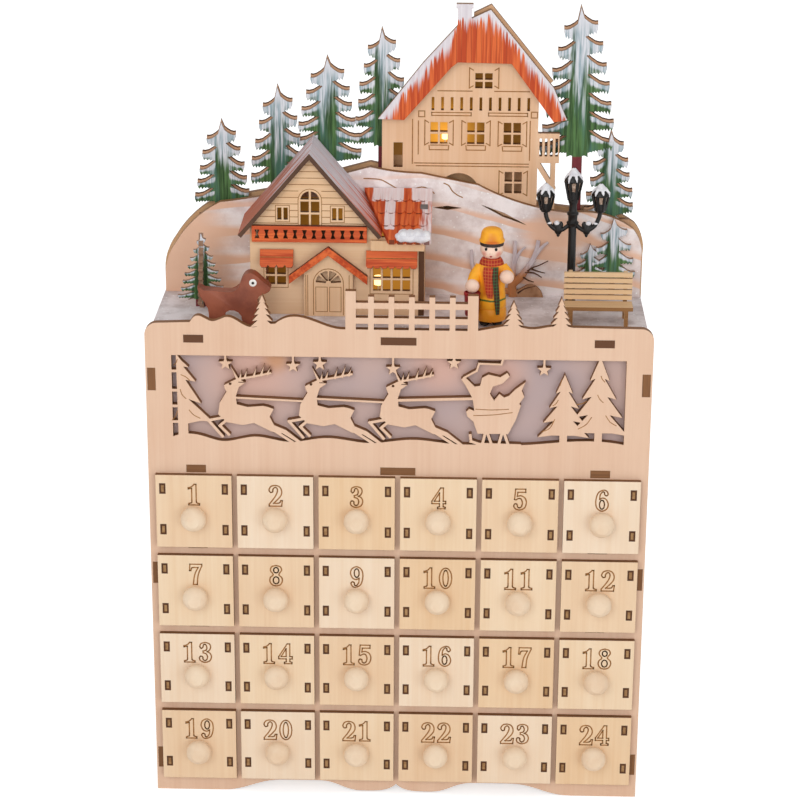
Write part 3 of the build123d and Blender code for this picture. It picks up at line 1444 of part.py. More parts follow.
# Batteries and their contacts, head to tail
battery_y = battery_box_front + box_wall + seat_gap + battery_radius
bay_left = bay_x - battery_bay / 2
bay_right = bay_x + battery_bay / 2
cells = []
contacts = []
for side, level in ((1, battery_box_level + bay_height / 4), (-1, battery_box_level - bay_height / 4)):
    tail_x = bay_left + contact + spring_length if side > 0 else bay_right - contact - spring_length
    plate_x = bay_left if side > 0 else bay_right
    nub_x = tail_x + side * (battery_length - battery_nub)
    nub_plate_x = nub_x + side * battery_nub
    with BuildPart() as cell:
        with BuildSketch(Plane((tail_x, battery_y, level), x_dir=(0, 1, 0), z_dir=(side, 0, 0))):
            RegularPolygon(battery_radius, battery_sides)
        extrude(amount=battery_length - battery_nub)
        with BuildSketch(Plane((nub_x, battery_y, level), x_dir=(0, 1, 0), z_dir=(side, 0, 0))):
            RegularPolygon(battery_nub_radius, lamp_sides)
        extrude(amount=battery_nub)
    cells.append(cell.part)
    with BuildPart() as spring_contact:
        with BuildSketch(Plane((plate_x, battery_y, level), x_dir=(0, 1, 0), z_dir=(side, 0, 0))):
            Rectangle(contact_width, contact_width)
        extrude(amount=contact)
        spring_plane = Plane((plate_x + side * contact, battery_y, level), x_dir=(0, 1, 0), z_dir=(side, 0, 0))
        turned(spring_plane, ((0, contact_width / 2), (spring_length, spring_tip)), lamp_sides)
    contacts.append(spring_contact.part)
    with BuildPart() as flat_contact:
        with BuildSketch(Plane((nub_plate_x, battery_y, level), x_dir=(0, 1, 0), z_dir=(side, 0, 0))):
            Rectangle(contact_width, contact_width)
        extrude(amount=contact)
    contacts.append(flat_contact.part)
batteries = Compound(label="batteries", children=cells)
export_step(batteries, "parts/batteries.step")
battery_contacts = Compound(label="battery_contacts", children=contacts)
export_step(battery_contacts, "parts/battery_contacts.step")
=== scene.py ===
import bpy
import bmesh
from math import cos, pi, radians, sin, sqrt, tan
from random import Random
from mathutils import Matrix, Vector


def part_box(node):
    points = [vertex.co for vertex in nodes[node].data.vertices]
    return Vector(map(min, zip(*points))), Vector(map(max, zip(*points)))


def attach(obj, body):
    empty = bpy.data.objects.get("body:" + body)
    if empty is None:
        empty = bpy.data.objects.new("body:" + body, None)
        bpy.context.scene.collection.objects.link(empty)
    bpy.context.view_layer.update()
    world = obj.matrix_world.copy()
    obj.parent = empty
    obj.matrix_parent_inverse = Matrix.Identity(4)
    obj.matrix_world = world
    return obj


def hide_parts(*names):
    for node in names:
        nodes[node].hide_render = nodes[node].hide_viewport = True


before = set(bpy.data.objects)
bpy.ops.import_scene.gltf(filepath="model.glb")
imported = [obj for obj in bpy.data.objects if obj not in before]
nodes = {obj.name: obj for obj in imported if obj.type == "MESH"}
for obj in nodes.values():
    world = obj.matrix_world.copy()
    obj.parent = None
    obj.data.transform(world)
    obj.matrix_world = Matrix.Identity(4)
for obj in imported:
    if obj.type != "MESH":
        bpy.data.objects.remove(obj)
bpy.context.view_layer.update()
mm = 0.001
scene = bpy.context.scene
print("frame loaded:", len(nodes), "nodes")


# Camera, in millimetres and radians
view = {"place": (29.58, -1239.425, 653.76), "yaw": -0.0239, "pitch": 0.34157, "roll": 0.00628, "lens": 111.485}


def setCamera():
    yaw, pitch, roll = view["yaw"], view["pitch"], view["roll"]
    ahead = Vector((sin(yaw) * cos(pitch), cos(yaw) * cos(pitch), -sin(pitch)))
    across = Vector((cos(yaw), -sin(yaw), 0))
    above = across.cross(ahead)
    right = cos(roll) * across + sin(roll) * above
    up = -sin(roll) * across + cos(roll) * above
    data = bpy.data.cameras.new("photoCamera")
    data.lens = view["lens"]
    data.sensor_width = 36
    data.sensor_fit = "HORIZONTAL"
    camera = bpy.data.objects.new("photoCamera", data)
    camera.matrix_world = Matrix((right, up, -ahead)).transposed().to_4x4()
    camera.location = Vector(view["place"]) * mm
    scene.collection.objects.link(camera)
    scene.camera = camera


setCamera()


# Node helpers; a Wire is a node's output that sums and products can be written with
class Wire:
    def __init__(self, socket):
        self.socket = socket

    def __add__(self, other):
        return maths("ADD", self, other)

    def __radd__(self, other):
        return maths("ADD", other, self)

    def __sub__(self, other):
        return maths("SUBTRACT", self, other)

    def __rsub__(self, other):
        return maths("SUBTRACT", other, self)

    def __mul__(self, other):
        return maths("MULTIPLY", self, other)

    def __truediv__(self, other):
        return maths("DIVIDE", self, other)


def paint(text):
    parts = [int(text[i:i + 2], 16) / 255 for i in (1, 3, 5)]
    return tuple(p / 12.92 if p <= 0.04045 else ((p + 0.055) / 1.055) ** 2.4 for p in parts) + (1.0,)


def treeOf(*values):
    return next(value.socket.id_data for value in values if isinstance(value, Wire))


def feed(socket, value):
    if isinstance(value, Wire):
        socket.id_data.links.new(value.socket, socket)
    else:
        socket.default_value = value


def add(tree, kind, inputs=None, **settings):
    node = tree.nodes.new(kind)
    for key, value in settings.items():
        setattr(node, key, value)
    for key, value in (inputs or {}).items():
        feed(node.inputs[key], value)
    return node


def wire(tree, kind, inputs=None, pick=0, **settings):
    return Wire(add(tree, kind, inputs, **settings).outputs[pick])


def wires(node):
    return {socket.name: Wire(socket) for socket in node.outputs}


def maths(operation, *values):
    return wire(treeOf(*values), "ShaderNodeMath", dict(enumerate(values)), operation=operation)


def clip(value):
    value.socket.node.use_clamp = True
    return value


def most(first, *others):
    for other in others:
        first = maths("MAXIMUM", first, other)
    return first


def blend(factor, first, second):
    return wire(treeOf(factor), "ShaderNodeMix", {0: factor, 6: first, 7: second}, 2, data_type="RGBA")


def fade(value, low, high):
    names = {"Value": value, "From Min": low, "From Max": high}
    return wire(treeOf(value), "ShaderNodeMapRange", names, interpolation_type="SMOOTHSTEP")


def within(value, low, high, soft=0.0002):
    return fade(value, low - soft, low + soft) * fade(value, high + soft, high - soft)


def spotOf(tree, pick="Object"):
    return wire(tree, "ShaderNodeTexCoord", pick=pick)


def vectors(operation, first, second, pick=0):
    return wire(treeOf(first), "ShaderNodeVectorMath", {0: first, 1: second}, pick, operation=operation)


def split(value):
    return [Wire(socket) for socket in add(treeOf(value), "ShaderNodeSeparateXYZ", {0: value}).outputs]


def axes(tree):
    return split(spotOf(tree))


def facing(tree):
    return split(spotOf(tree, "Normal"))


def reachFrom(tree, spot):
    return vectors("DISTANCE", spotOf(tree), tuple(part * mm for part in spot), "Value")


def noise(vector, scale, detail=3.0, roughness=0.55):
    names = {"Vector": vector, "Scale": scale, "Detail": detail, "Roughness": roughness}
    return wire(treeOf(vector), "ShaderNodeTexNoise", names)


def streaks(tree, run, scale, detail=3.0, roughness=0.55):
    return noise(vectors("MULTIPLY", spotOf(tree), run), scale, detail, roughness)


def newGroup(name, inputs, outputs, treeKind="ShaderNodeTree"):
    group = bpy.data.node_groups.new(name, treeKind)
    for way, labels in (("INPUT", inputs), ("OUTPUT", outputs)):
        for label, kind in labels.items():
            group.interface.new_socket(label, in_out=way, socket_type="NodeSocket" + kind)
    return group, wires(add(group, "NodeGroupInput")), add(group, "NodeGroupOutput").inputs


def place(tree, group, **values):
    return wires(add(tree, "ShaderNodeGroup", values, node_tree=group))


# Shared effects
colourAndHeight = {"Colour": "Color", "Height": "Float"}


def makeGrain():
    inputs = {"Pale": "Color", "Streak": "Color", "Run": "Vector", "Contrast": "Float"}
    group, given, made = newGroup("sheetGrain", inputs, colourAndHeight)
    spot = spotOf(group)
    run = vectors("MULTIPLY", spot, given["Run"])
    fine = noise(run, 1.0, 4.0, 0.6)
    mixed = fine * 0.5 + noise(run, 0.16, 2.0, 0.5) * 0.6 + noise(spot, 22.0, 2.0, 0.5) * 0.35
    spread = (mixed - 0.62) * given["Contrast"]
    feed(made["Colour"], blend(clip(spread + 0.4), given["Pale"], given["Streak"]))
    feed(made["Height"], fine)
    return group


def makeBurnt():
    outputs = {"Cut": "Float", "Mask": "Float"}
    group, given, made = newGroup("burntEdge", {"Axis": "Vector", "Fringe": "Float"}, outputs)
    flat = spotOf(group, "Normal")
    across = vectors("DOT_PRODUCT", flat, given["Axis"], "Value")
    cut = fade(maths("ABSOLUTE", across), 0.75, 0.45)
    soft = wire(group, "ShaderNodeBevel", {"Radius": given["Fringe"]}, samples=6)
    turned = vectors("DOT_PRODUCT", soft, flat, "Value")
    rim = fade(turned, 0.995, 0.8) * (noise(spotOf(group), 900.0, 2.0) + 0.25)
    feed(made["Cut"], cut)
    feed(made["Mask"], clip(most(cut, rim * 0.75)))
    return group


def makeStrokes():
    inputs = {"Depth": "Float", "Short": "Float", "Long": "Float"}
    group, given, made = newGroup("snowStrokes", inputs, {"Mask": "Float"})
    lanes = streaks(group, (1, 1, 0.02), 900.0, 2.0, 0.7)
    wide = streaks(group, (1, 1, 0.05), 150.0, 1.0, 0.5)
    lane = fade(lanes * 0.72 + wide * 0.28, 0.36, 0.66)
    reach = given["Short"] + lane * (given["Long"] - given["Short"])
    feed(made["Mask"], fade(given["Depth"] / reach, 1.5, 0.45))
    return group


def makeGlitter():
    inputs = {"Snow": "Color", "Shade": "Color", "Amount": "Float"}
    group, given, made = newGroup("glitterSnow", inputs, colourAndHeight)
    spot = spotOf(group)
    cells = wires(add(group, "ShaderNodeTexVoronoi", {"Vector": spot, "Scale": 620.0}, feature="F1"))
    pick = wire(group, "ShaderNodeSeparateColor", {0: cells["Color"]})
    # the glitter flakes are real; their white sparkle is a painted glint
    paintedGlint = fade(cells["Distance"], 0.34, 0.16) * fade(pick, 1.0 - given["Amount"], 1.0)
    cloud = fade(noise(spot, 75.0, 5.0, 0.62), 0.36, 0.66)
    feed(made["Colour"], blend(paintedGlint, blend(cloud, given["Snow"], given["Shade"]), (1.0, 1.0, 1.0, 1.0)))
    feed(made["Height"], noise(spot, 420.0, 4.0, 0.6))
    return group


def makeFirPaint():
    group, given, made = newGroup("firPaint", {"Frost": "Float"}, colourAndHeight)
    spot = wire(group, "ShaderNodeAttribute", pick="Vector", attribute_name="firSpot")
    across, down, tiers = split(spot)
    out = maths("ABSOLUTE", across)
    lines = streaks(group, (1, 1, 0.05), 620.0, 3.0, 0.7)
    lanes = streaks(group, (1, 1, 0.1), 210.0, 2.0, 0.6)
    late = maths("LESS_THAN", across, 0.0) * 0.3
    phase = maths("FRACT", down * tiers - out * 0.6 + 0.45 - late)  # 0 on top of a bough
    green = blend(fade(lines, 0.36, 0.64), paint("#25401C"), paint("#557A45"))
    green = blend(fade(lanes, 0.45, 0.7), green, paint("#4C7466"))
    frost = blend(fade(lines, 0.35, 0.62), paint("#8DA4AC"), paint("#DCDDE3"))
    rim = fade(out, 0.16, 0.4) * fade(phase, 0.5, 0.12)
    middle = fade(out, 0.16, 0.03) * fade(down, 0.85, 0.35)
    cover = rim * 0.6 + middle * 0.18 + lanes * 0.9 + lines * 0.9 - down * 0.75 + given["Frost"]
    colour = blend(fade(cover, 0.66, 1.0), green, frost)
    colour = blend(fade(down + lines * 0.1, 0.24, 0.1), colour, paint("#DADAE0"))
    bark = blend(lines, paint("#5E1C22"), paint("#86363C"))
    feed(made["Colour"], blend(fade(down, 1.0, 1.012), colour, bark))
    feed(made["Height"], lines)
    return group


def makeMottle():
    inputs = {"Base": "Color", "Shade": "Color", "Fineness": "Float"}
    group, given, made = newGroup("paintMottle", inputs, colourAndHeight)
    spot = spotOf(group)
    cloud = fade(noise(spot, given["Fineness"], 4.0, 0.6), 0.3, 0.75)
    feed(made["Colour"], blend(cloud, given["Base"], given["Shade"]))
    feed(made["Height"], noise(spot, 1400.0, 3.0, 0.6))
    return group


grain = makeGrain()
burnt = makeBurnt()
strokes = makeStrokes()
glitter = makeGlitter()
firPaint = makeFirPaint()
mottle = makeMottle()
print("shared shader groups made")


# Materials
unlit = (0, 0, 0, 1)
wood = {"upright": (760, 760, 14), "level": (14, 760, 760), "burnt": "#633F28", "singed": "#97683F",
        "knob": "#EFD8BC"}


def shaderOf(material):
    return material.node_tree.nodes["Principled BSDF"]


def begin(name, roughness):
    material = bpy.data.materials.new(name)
    material.use_nodes = True
    shader = shaderOf(material)
    shader.inputs["Roughness"].default_value = roughness
    shader.inputs["Specular IOR Level"].default_value = 0.3
    return material, material.node_tree


def close(material, colour, height=None, strength=0.25, distance=0.0002):
    shader = shaderOf(material)
    feed(shader.inputs["Base Color"], colour)
    if height:
        names = {"Height": height, "Strength": strength, "Distance": distance}
        feed(shader.inputs["Normal"], wire(material.node_tree, "ShaderNodeBump", names))
    return material


def shine(material, colour, power):
    shader = shaderOf(material)
    feed(shader.inputs["Emission Color"], colour)
    shader.inputs["Emission Strength"].default_value = power


def board(tree, pale, streak, run="upright", contrast=1.4):
    return place(tree, grain, Pale=paint(pale), Streak=paint(streak), Run=wood[run], Contrast=contrast)


def edgeOf(tree, axis, fringe):
    return place(tree, burnt, Axis=axis, Fringe=fringe * mm)


def fringeOf(edge):
    return clip(edge["Mask"] - edge["Cut"])


def charred(tree, dark, pale, run=(1, 60, 1), scale=40.0, detail=3.0):
    return blend(streaks(tree, run, scale, detail), paint(dark), paint(pale))


def coat(tree, base, shade, fineness):
    return place(tree, mottle, Base=paint(base), Shade=paint(shade), Fineness=fineness)


def snowCoat(tree, snow, shade, amount):
    return place(tree, glitter, Snow=paint(snow), Shade=paint(shade), Amount=amount)


def sheetMaterial(name, axis, pale="#E9C9AF", streak="#DDB598", run="upright"):
    material, tree = begin(name, 0.62)
    sheet = board(tree, pale, streak, run, 1.7)
    mask = edgeOf(tree, axis, 0.35)["Mask"]
    plies = tuple(60 if part else 1 for part in axis)
    char = charred(tree, wood["burnt"], wood["singed"], plies, 40.0, 2.0)
    return close(material, blend(mask, sheet["Colour"], char), sheet["Height"], 0.18)


def cottageWallMaterial():
    material, tree = begin("cottageWall", 0.62)
    sheet = board(tree, "#EAC8A2", "#D8AB7E")
    below = fade(axes(tree)[2], 296.7 * mm, 296.3 * mm)  # the beam above stays pale
    mask = edgeOf(tree, (1, 0, 0), 0.4)["Mask"] * below
    return close(material, blend(mask, sheet["Colour"], paint("#5A3820")), sheet["Height"], 0.18)


def benchMaterial():
    material, tree = begin("benchSlats", 0.58)
    sheet = board(tree, "#E8C8A0", "#D4AB7C", "level")
    rim = fringeOf(edgeOf(tree, (0, 0, 1), 0.3))
    _, ny, nz = facing(tree)
    front = fade(ny, -0.5, -0.8) * fade(axes(tree)[2], 271.2 * mm, 270.9 * mm)
    dark = most(front, fade(nz, -0.5, -0.8), rim * 0.9)
    char = blend(sheet["Height"], paint("#7A5230"), paint("#A87A48"))
    return close(material, blend(dark, sheet["Colour"], char), sheet["Height"], 0.18)


def drawerMaterial(name, pale, streak):
    material, tree = begin(name, 0.6)
    sheet = board(tree, pale, streak, contrast=1.5)
    y = axes(tree)[1]
    front = fade(y, -39.6 * mm, -39.7 * mm)
    rim = fade(facing(tree)[2], 0.5, 0.8) * clip(0.7 - front)
    mask = clip(front * edgeOf(tree, (0, 1, 0), 0.35)["Mask"] + rim)
    knob = fade(y, -42.75 * mm, -42.85 * mm)  # the knob's core has the colour of its skin
    colour = blend(mask, sheet["Colour"], charred(tree, wood["burnt"], "#8A5F38"))
    return close(material, blend(knob, colour, paint(wood["knob"])), sheet["Height"], 0.18)


def plainPaint(name, base, shade, roughness=0.45, fineness=160.0, strength=0.12):
    material, tree = begin(name, roughness)
    cover = coat(tree, base, shade, fineness)
    return close(material, cover["Colour"], cover["Height"], strength, 0.0001)


def snowDeckMaterial():
    material, tree = begin("snowDeck", 0.7)
    snow = snowCoat(tree, "#ECE3E4", "#C9BCBA", 0.25)
    sheet = board(tree, "#E3BE98", "#CDA27A", "level")
    top = fade(facing(tree)[2], 0.5, 0.8)
    body = blend(edgeOf(tree, (0, 0, 1), 0.3)["Cut"], sheet["Colour"], paint(wood["burnt"]))
    return close(material, blend(top, body, snow["Colour"]), snow["Height"], 0.35, 0.0004)


hillLook = {
    "snow": "#F7EFEE", "shade": "#DACBC8", "tan": "#E9BEA2", "step": 15.0, "sway": 17.0, "fall": 0.24,
    "bend": 22.0,
    "rightPatch": (82, 36, 297), "lamp": (-12, 36, 277),
}


def hillMaterial():
    material, tree = begin("hillSnow", 0.68)
    snow = snowCoat(tree, hillLook["snow"], hillLook["shade"], 0.22)
    x, _, z = axes(tree)
    past = most(x - hillLook["bend"] * mm, 0.0) * hillLook["fall"]  # the drifts fall to the right
    sway = streaks(tree, (1, 1, 0.3), 16.0, 2.0, 0.5) * (hillLook["sway"] * mm) + past
    drift = maths("FRACT", (z + sway) / (hillLook["step"] * mm))  # white at its crest, bare at its foot
    foot = fade(drift, 0.5, 0.06) * fade(drift, 0.0, 0.05)
    lines = streaks(tree, (0.08, 1, 2.4), 70.0, 3.0, 0.6)
    low = fade(z, 322 * mm, 290 * mm) * 0.35
    right = fade(reachFrom(tree, hillLook["rightPatch"]), 26 * mm, 6 * mm) * 0.5
    left = fade(x, -80 * mm, -112 * mm) * 0.5
    cover = foot * 0.5 + lines * 0.55 + low + most(right, left)
    wash = blend(fade(cover, 0.55, 1.1), snow["Colour"], paint(hillLook["tan"]))
    colour = blend(edgeOf(tree, (0, 1, 0), 0.45)["Mask"], wash, charred(tree, "#6B4527", "#A87B50"))
    paintedShadeAndGlow = within(x, -72 * mm, 6 * mm) * within(z, 255 * mm, 314 * mm)  # painted shade, dark brown, on what shows through the cottage
    # a painted amber glow on the same region, brightest near the cottage's lamp
    near = fade(reachFrom(tree, hillLook["lamp"]), 60 * mm, 3 * mm)
    shine(material, blend(paintedShadeAndGlow * (0.25 + near * 0.75), unlit, paint("#E39A38")), 0.55)
    return close(material, blend(paintedShadeAndGlow, colour, paint("#6E4520")), snow["Height"], 0.3, 0.0003)


def firMaterial(name, axis, frost):
    material, tree = begin(name, 0.6)
    fir = place(tree, firPaint, Frost=frost)
    edge = edgeOf(tree, axis, 0.45)
    sawn = charred(tree, "#7A5A44", "#B9967C", tuple(50 if part else 1 for part in axis), 60.0)
    colour = blend(edge["Cut"], fir["Colour"], sawn)
    return close(material, blend(fringeOf(edge), colour, paint("#3A2A20")), fir["Height"], 0.35)


roofLook = {
    "dark": "#B8431A", "light": "#E06C34", "brush": "#CC5A2E",
    "chaletEdges": ((1.205, 372.9), (-1.215, 469.65), (-2.32, 556.3), (0.48, 393.5)),
    # rise per millimetre, level at x = 0
}


def orange(tree, run):
    lines = streaks(tree, run, 700.0, 2.0, 0.7)
    broad = streaks(tree, run, 170.0, 2.0, 0.6)
    tone = blend(fade(lines, 0.4, 0.62), paint(roofLook["dark"]), paint(roofLook["light"]))
    return blend(fade(broad, 0.5, 0.75), tone, paint(roofLook["brush"])), lines


def chaletRoofMaterial():
    material, tree = begin("chaletRoof", 0.6)
    tone, lines = orange(tree, (1, 1, 0.03))
    x, _, z = axes(tree)
    ridge = None
    for lean, level in roofLook["chaletEdges"]:
        line = x * lean + level * mm
        ridge = maths("MINIMUM", ridge, line) if ridge else line
    depth = ridge + within(x, 26 * mm, 36 * mm) * (4 * mm) - z  # the chimney stands higher
    mask = place(tree, strokes, Depth=depth, Short=1.2 * mm, Long=8.5 * mm)["Mask"]
    plank = within(maths("FRACT", x / (2.6 * mm)), 0.44, 0.56, 0.05)
    hipped = within(x, 27 * mm, 55 * mm) * fade(z, 386 * mm, 387 * mm)
    tone = blend(plank * hipped * 0.6, tone, paint("#8E3818"))
    colour = blend(mask, tone, blend(lines, paint("#C9BEC6"), paint("#F3EFF1")))
    edge = edgeOf(tree, (0, 1, 0), 0.4)["Mask"]
    return close(material, blend(edge, colour, charred(tree, "#5A3820", "#A47A52")), lines)


def orangeSheetMaterial(name, axis, run):
    material, tree = begin(name, 0.58)
    tone, lines = orange(tree, run)
    char = charred(tree, "#4A2414", "#80401F", (20, 20, 20), 20.0)
    return close(material, blend(edgeOf(tree, axis, 0.4)["Mask"], tone, char), lines, 0.2)


def cottageRoofMaterial():
    material, tree = begin("cottageRoof", 0.62)
    tone = orange(tree, (0.05, 1, 0.05))[0]
    x, _, z = axes(tree)
    _, ny, nz = facing(tree)
    lanes = streaks(tree, (0.06, 1, 0.06), 420.0, 3.0, 0.7)
    thin = streaks(tree, (0.06, 1, 0.06), 900.0, 2.0, 0.7)
    left = fade(x, -46.7 * mm, -47.7 * mm)
    cover = (z - 302 * mm) / (46 * mm) * 0.6 + lanes * 1.9 - left * 0.3
    brown = blend(left * 0.7, tone, paint("#9A5F4C"))
    snow = blend(thin, paint("#B3A2AC"), paint("#F0ECEF"))
    colour = blend(fade(cover, 0.98, 1.3), brown, snow)
    colour = blend(fade(thin, 0.6, 0.7) * 0.5, colour, paint("#7A4A3C"))
    bark = charred(tree, "#3E281C", "#684834", (1, 1, 1), 200.0)
    colour = blend(most(fade(nz, 0.1, -0.1), fade(ny, -0.5, -0.8)), colour, bark)
    fringe = fringeOf(edgeOf(tree, (0, 1, 0), 0.5))
    return close(material, blend(fringe, colour, paint("#4A2F20")), lanes, 0.3)


def annexTileMaterial():
    material, tree = begin("annexTiles", 0.6)
    tone, lines = orange(tree, (1, 0.04, 0.04))
    x, y, _ = axes(tree)
    high = (y + 7.5 * mm) / (42 * mm)
    column = within(x, -9 * mm, -3.4 * mm, 0.0008) * fade(high, 0.14, 0.2)
    gap = 1.0 - within(x, 0.6 * mm, 4.7 * mm, 0.0006)
    upper = fade(high, 0.68, 0.76) * gap * fade(x, -17 * mm, -15 * mm)
    weight = most(column, upper, fade(x, 5 * mm, 12 * mm) * 0.7)
    runs = streaks(tree, (1, 0.05, 0.05), 900.0, 2.0, 0.7)
    wide = streaks(tree, (1, 0.25, 0.25), 260.0, 2.0, 0.6)
    cover = weight * 0.8 + runs * 0.75 + wide * 0.55
    snow = blend(runs, paint("#DEB9B4"), paint("#F4F0F2"))
    colour = blend(fade(cover, 0.98, 1.3), tone, snow)
    lip = fade(facing(tree)[1], -0.6, -0.85)  # the dark lower end of each tile
    return close(material, blend(lip * 0.85, colour, paint("#6A3A2A")), lines)


annexTiles = annexTileMaterial()
diffuserLook = {"y": -35, "paintedGlow": ((-74, 243, 34), (22, 243, 24), (52, 240, 20)), "paintedAmberGlow": (-63, 247)}


def diffuserMaterial():
    material, tree = begin("diffuserSheet", 0.5)
    y = diffuserLook["y"]
    cloud = fade(streaks(tree, (1, 1, 1), 18.0, 2.0), 0.3, 0.7)
    base = blend(cloud, paint("#B49F9E"), paint("#C6A89E"))
    # warm patches of painted glow where the lights behind shine through the sheet
    paintedGlow = most(*[fade(reachFrom(tree, (x, y, z)), size * mm, 2 * mm) for x, z, size in diffuserLook["paintedGlow"]])
    # a painted amber highlight behind the antlers
    x, z = diffuserLook["paintedAmberGlow"]
    paintedAmberGlow = fade(reachFrom(tree, (x, y, z)), 11 * mm, 1 * mm)
    colour = blend(paintedGlow * 0.85, base, paint("#CCA698"))
    shine(material, blend(paintedGlow, (0.02, 0.018, 0.02, 1), paint("#B07458")), 0.14)
    return close(material, blend(paintedAmberGlow * 0.6, colour, paint("#C4894A")))


def lightStringMaterial():
    material, tree = begin("lampString", 0.35)
    x, y, z = axes(tree)
    window = fade(z, 199 * mm, 198 * mm) * within(y, 0.5 * mm, 5.6 * mm)
    cottage = within(z, 274.2 * mm, 279.2 * mm) * fade(x, -5 * mm, -6 * mm)
    lit = most(cottage, within(z, 344 * mm, 349 * mm), window)
    cover = coat(tree, "#E8E4D8", "#C9C3B2", 300.0)
    shine(material, blend(lit, unlit, paint("#FFD98A")), 2.5)
    return close(material, blend(lit, cover["Colour"], paint("#FFF0C0")), cover["Height"], 0.1, 0.0001)


def backMaterial():
    material, tree = begin("backSheet", 0.65)
    sheet = board(tree, "#DFB991", "#CDA072")
    mask = edgeOf(tree, (0, 1, 0), 0.35)["Mask"]
    colour = blend(mask, sheet["Colour"], charred(tree, "#5A3820", "#A87B50"))
    # painted shade, dark brown, on the front face seen through the chalet's windows, which also carries a
    # painted lamp glow
    paintedRoomShadeAndGlow = fade(facing(tree)[1], -0.5, -0.8) * fade(axes(tree)[2], 334 * mm, 335 * mm)
    near = fade(reachFrom(tree, (21.5, 48, 346)), 26 * mm, 2 * mm)  # painted glow around the chalet's lamp
    shine(material, blend(paintedRoomShadeAndGlow * (0.13 + near * 0.87), unlit, paint("#F0A83A")), 0.9)
    return close(material, blend(paintedRoomShadeAndGlow, colour, paint("#7A5028")), sheet["Height"], 0.2)


def dress():
    firWood = plainPaint("firWood", "#3E6B3E", "#2E5230", 0.6)
    flat = sheetMaterial("flatSheet", (0, 0, 1), "#E2BE9A", "#CB9C70", "level")
    side = sheetMaterial("sideSheet", (1, 0, 0), "#E2BE9A", "#CB9C70")
    looks = {
        "front_panel": sheetMaterial("frontSheet", (0, 1, 0)),
        "left_side": side,
        "right_side": side,
        "top_deck": snowDeckMaterial(),
        "light_floor": flat,
        "base_board": flat,
        "shelves": flat,
        "dividers": sheetMaterial("dividerSheet", (1, 0, 0), "#DFBA92", "#C8986A"),
        "back_panel": backMaterial(),
        "diffuser_sheet": diffuserMaterial(),
        "hill_panel": hillMaterial(),
        "trees_left": firWood,
        "trees_right": firWood,
        "hill_trees": firWood,
        "cross_tree": firWood,
        "chalet_front": sheetMaterial("chaletSheet", (0, 1, 0), "#EFCBAA", "#E0B28A"),
        "chalet_roof": chaletRoofMaterial(),
        "cottage_front": sheetMaterial("cottageSheet", (0, 1, 0), "#F2D3B0", "#E2B88E", "level"),
        "cottage_walls": cottageWallMaterial(),
        "cottage_roof": cottageRoofMaterial(),
        "annex_roof": annexTiles,
        "balcony_rail": orangeSheetMaterial("railPaint", (0, 1, 0), (0.04, 1, 1)),
        "porch_front": sheetMaterial("porchSheet", (0, 1, 0), "#F2D3B0", "#E2B88E"),
        "porch_roof": orangeSheetMaterial("porchPaint", (0, 1, 0), (0.3, 1, 0.3)),
        "awnings": orangeSheetMaterial("awningPaint", (0, 0.91, -0.41), (0.04, 1, 1)),
        "bench": benchMaterial(),
        "bush": plainPaint("bushSheet", "#B79C90", "#8A5A36", 0.65, 120.0),
        "light_string": lightStringMaterial(),
        "battery_box": plainPaint("boxPlastic", "#1B1B1D", "#26262A", 0.42, 300.0),
        "battery_cover": plainPaint("coverPlastic", "#202024", "#2B2B30", 0.45, 300.0),
        "switch_slider": plainPaint("switchPlastic", "#C9C9CC", "#B5B5BA", 0.4, 300.0),
        "batteries": plainPaint("cellJacket", "#6D7A6A", "#5A6658", 0.3, 200.0),
        "battery_contacts": plainPaint("contactMetal", "#B9B9BC", "#8F9094", 0.3, 300.0),
        "lamp_post": plainPaint("lampCast", "#17130F", "#2A241F", 0.3, 200.0),
        "figure": plainPaint("figureWood", "#F0A02C", "#E08A1E", 0.35, 120.0),
        "dog": plainPaint("dogWood", "#8A4A36", "#6E3527", 0.42, 110.0),
    }
    shaderOf(looks["battery_contacts"]).inputs["Metallic"].default_value = 0.9
    tones = (("#F3DDC0", "#E6C59E"), ("#F0D6B6", "#E2BE98"), ("#F4E1CA", "#E9CCAC"), ("#EFD3B0", "#E2BC92"))
    fronts = [drawerMaterial(f"drawerBoard{i}", *tone) for i, tone in enumerate(tones)]
    for number in range(1, 25):
        looks[f"drawer_{number:02d}"] = fronts[(number * 5 + number // 7) % 4]
    for name, material in looks.items():
        slots = nodes[name].data.materials
        slots.clear()
        slots.append(material)
    print("materials on", len(looks), "nodes, missing:", sorted(set(nodes) - set(looks)))


dress()


# Mesh helpers
def addFaces(mesh, points, faces, slot=0, smooth=True):
    made = [mesh.verts.new(Vector(p) * mm) for p in points]
    for corners in faces:
        face = mesh.faces.new([made[i] for i in corners])
        face.material_index = slot
        face.smooth = smooth
    return made


def stack(mesh, points, sides, slot):
    last = len(points) // sides - 1
    faces = []
    for ring in range(last):
        for side in range(sides):
            a, b = ring * sides + side, ring * sides + (side + 1) % sides
            faces.append((a, b, b + sides, a + sides))
    faces.append(tuple(reversed(range(sides))))
    faces.append(tuple(range(last * sides, (last + 1) * sides)))
    addFaces(mesh, points, faces, slot)


def prism(mesh, front, back, slot=0):
    count = len(front)
    faces = [tuple(range(count)), tuple(reversed(range(count, 2 * count)))]
    faces += [(i, i + count, (i + 1) % count + count, (i + 1) % count) for i in range(count)]
    return addFaces(mesh, front + back, faces, slot, False)


def lathe(mesh, rings, base, axis=(0, 0, 1), sides=24, slot=0):
    out = Vector(axis).normalized()
    one = out.orthogonal().normalized()
    two = out.cross(one)
    turns = [2 * pi * side / sides for side in range(sides)]
    points = []
    for height, radius in rings:
        points += [Vector(base) + out * height + (one * cos(turn) + two * sin(turn)) * radius for turn in turns]
    stack(mesh, points, sides, slot)


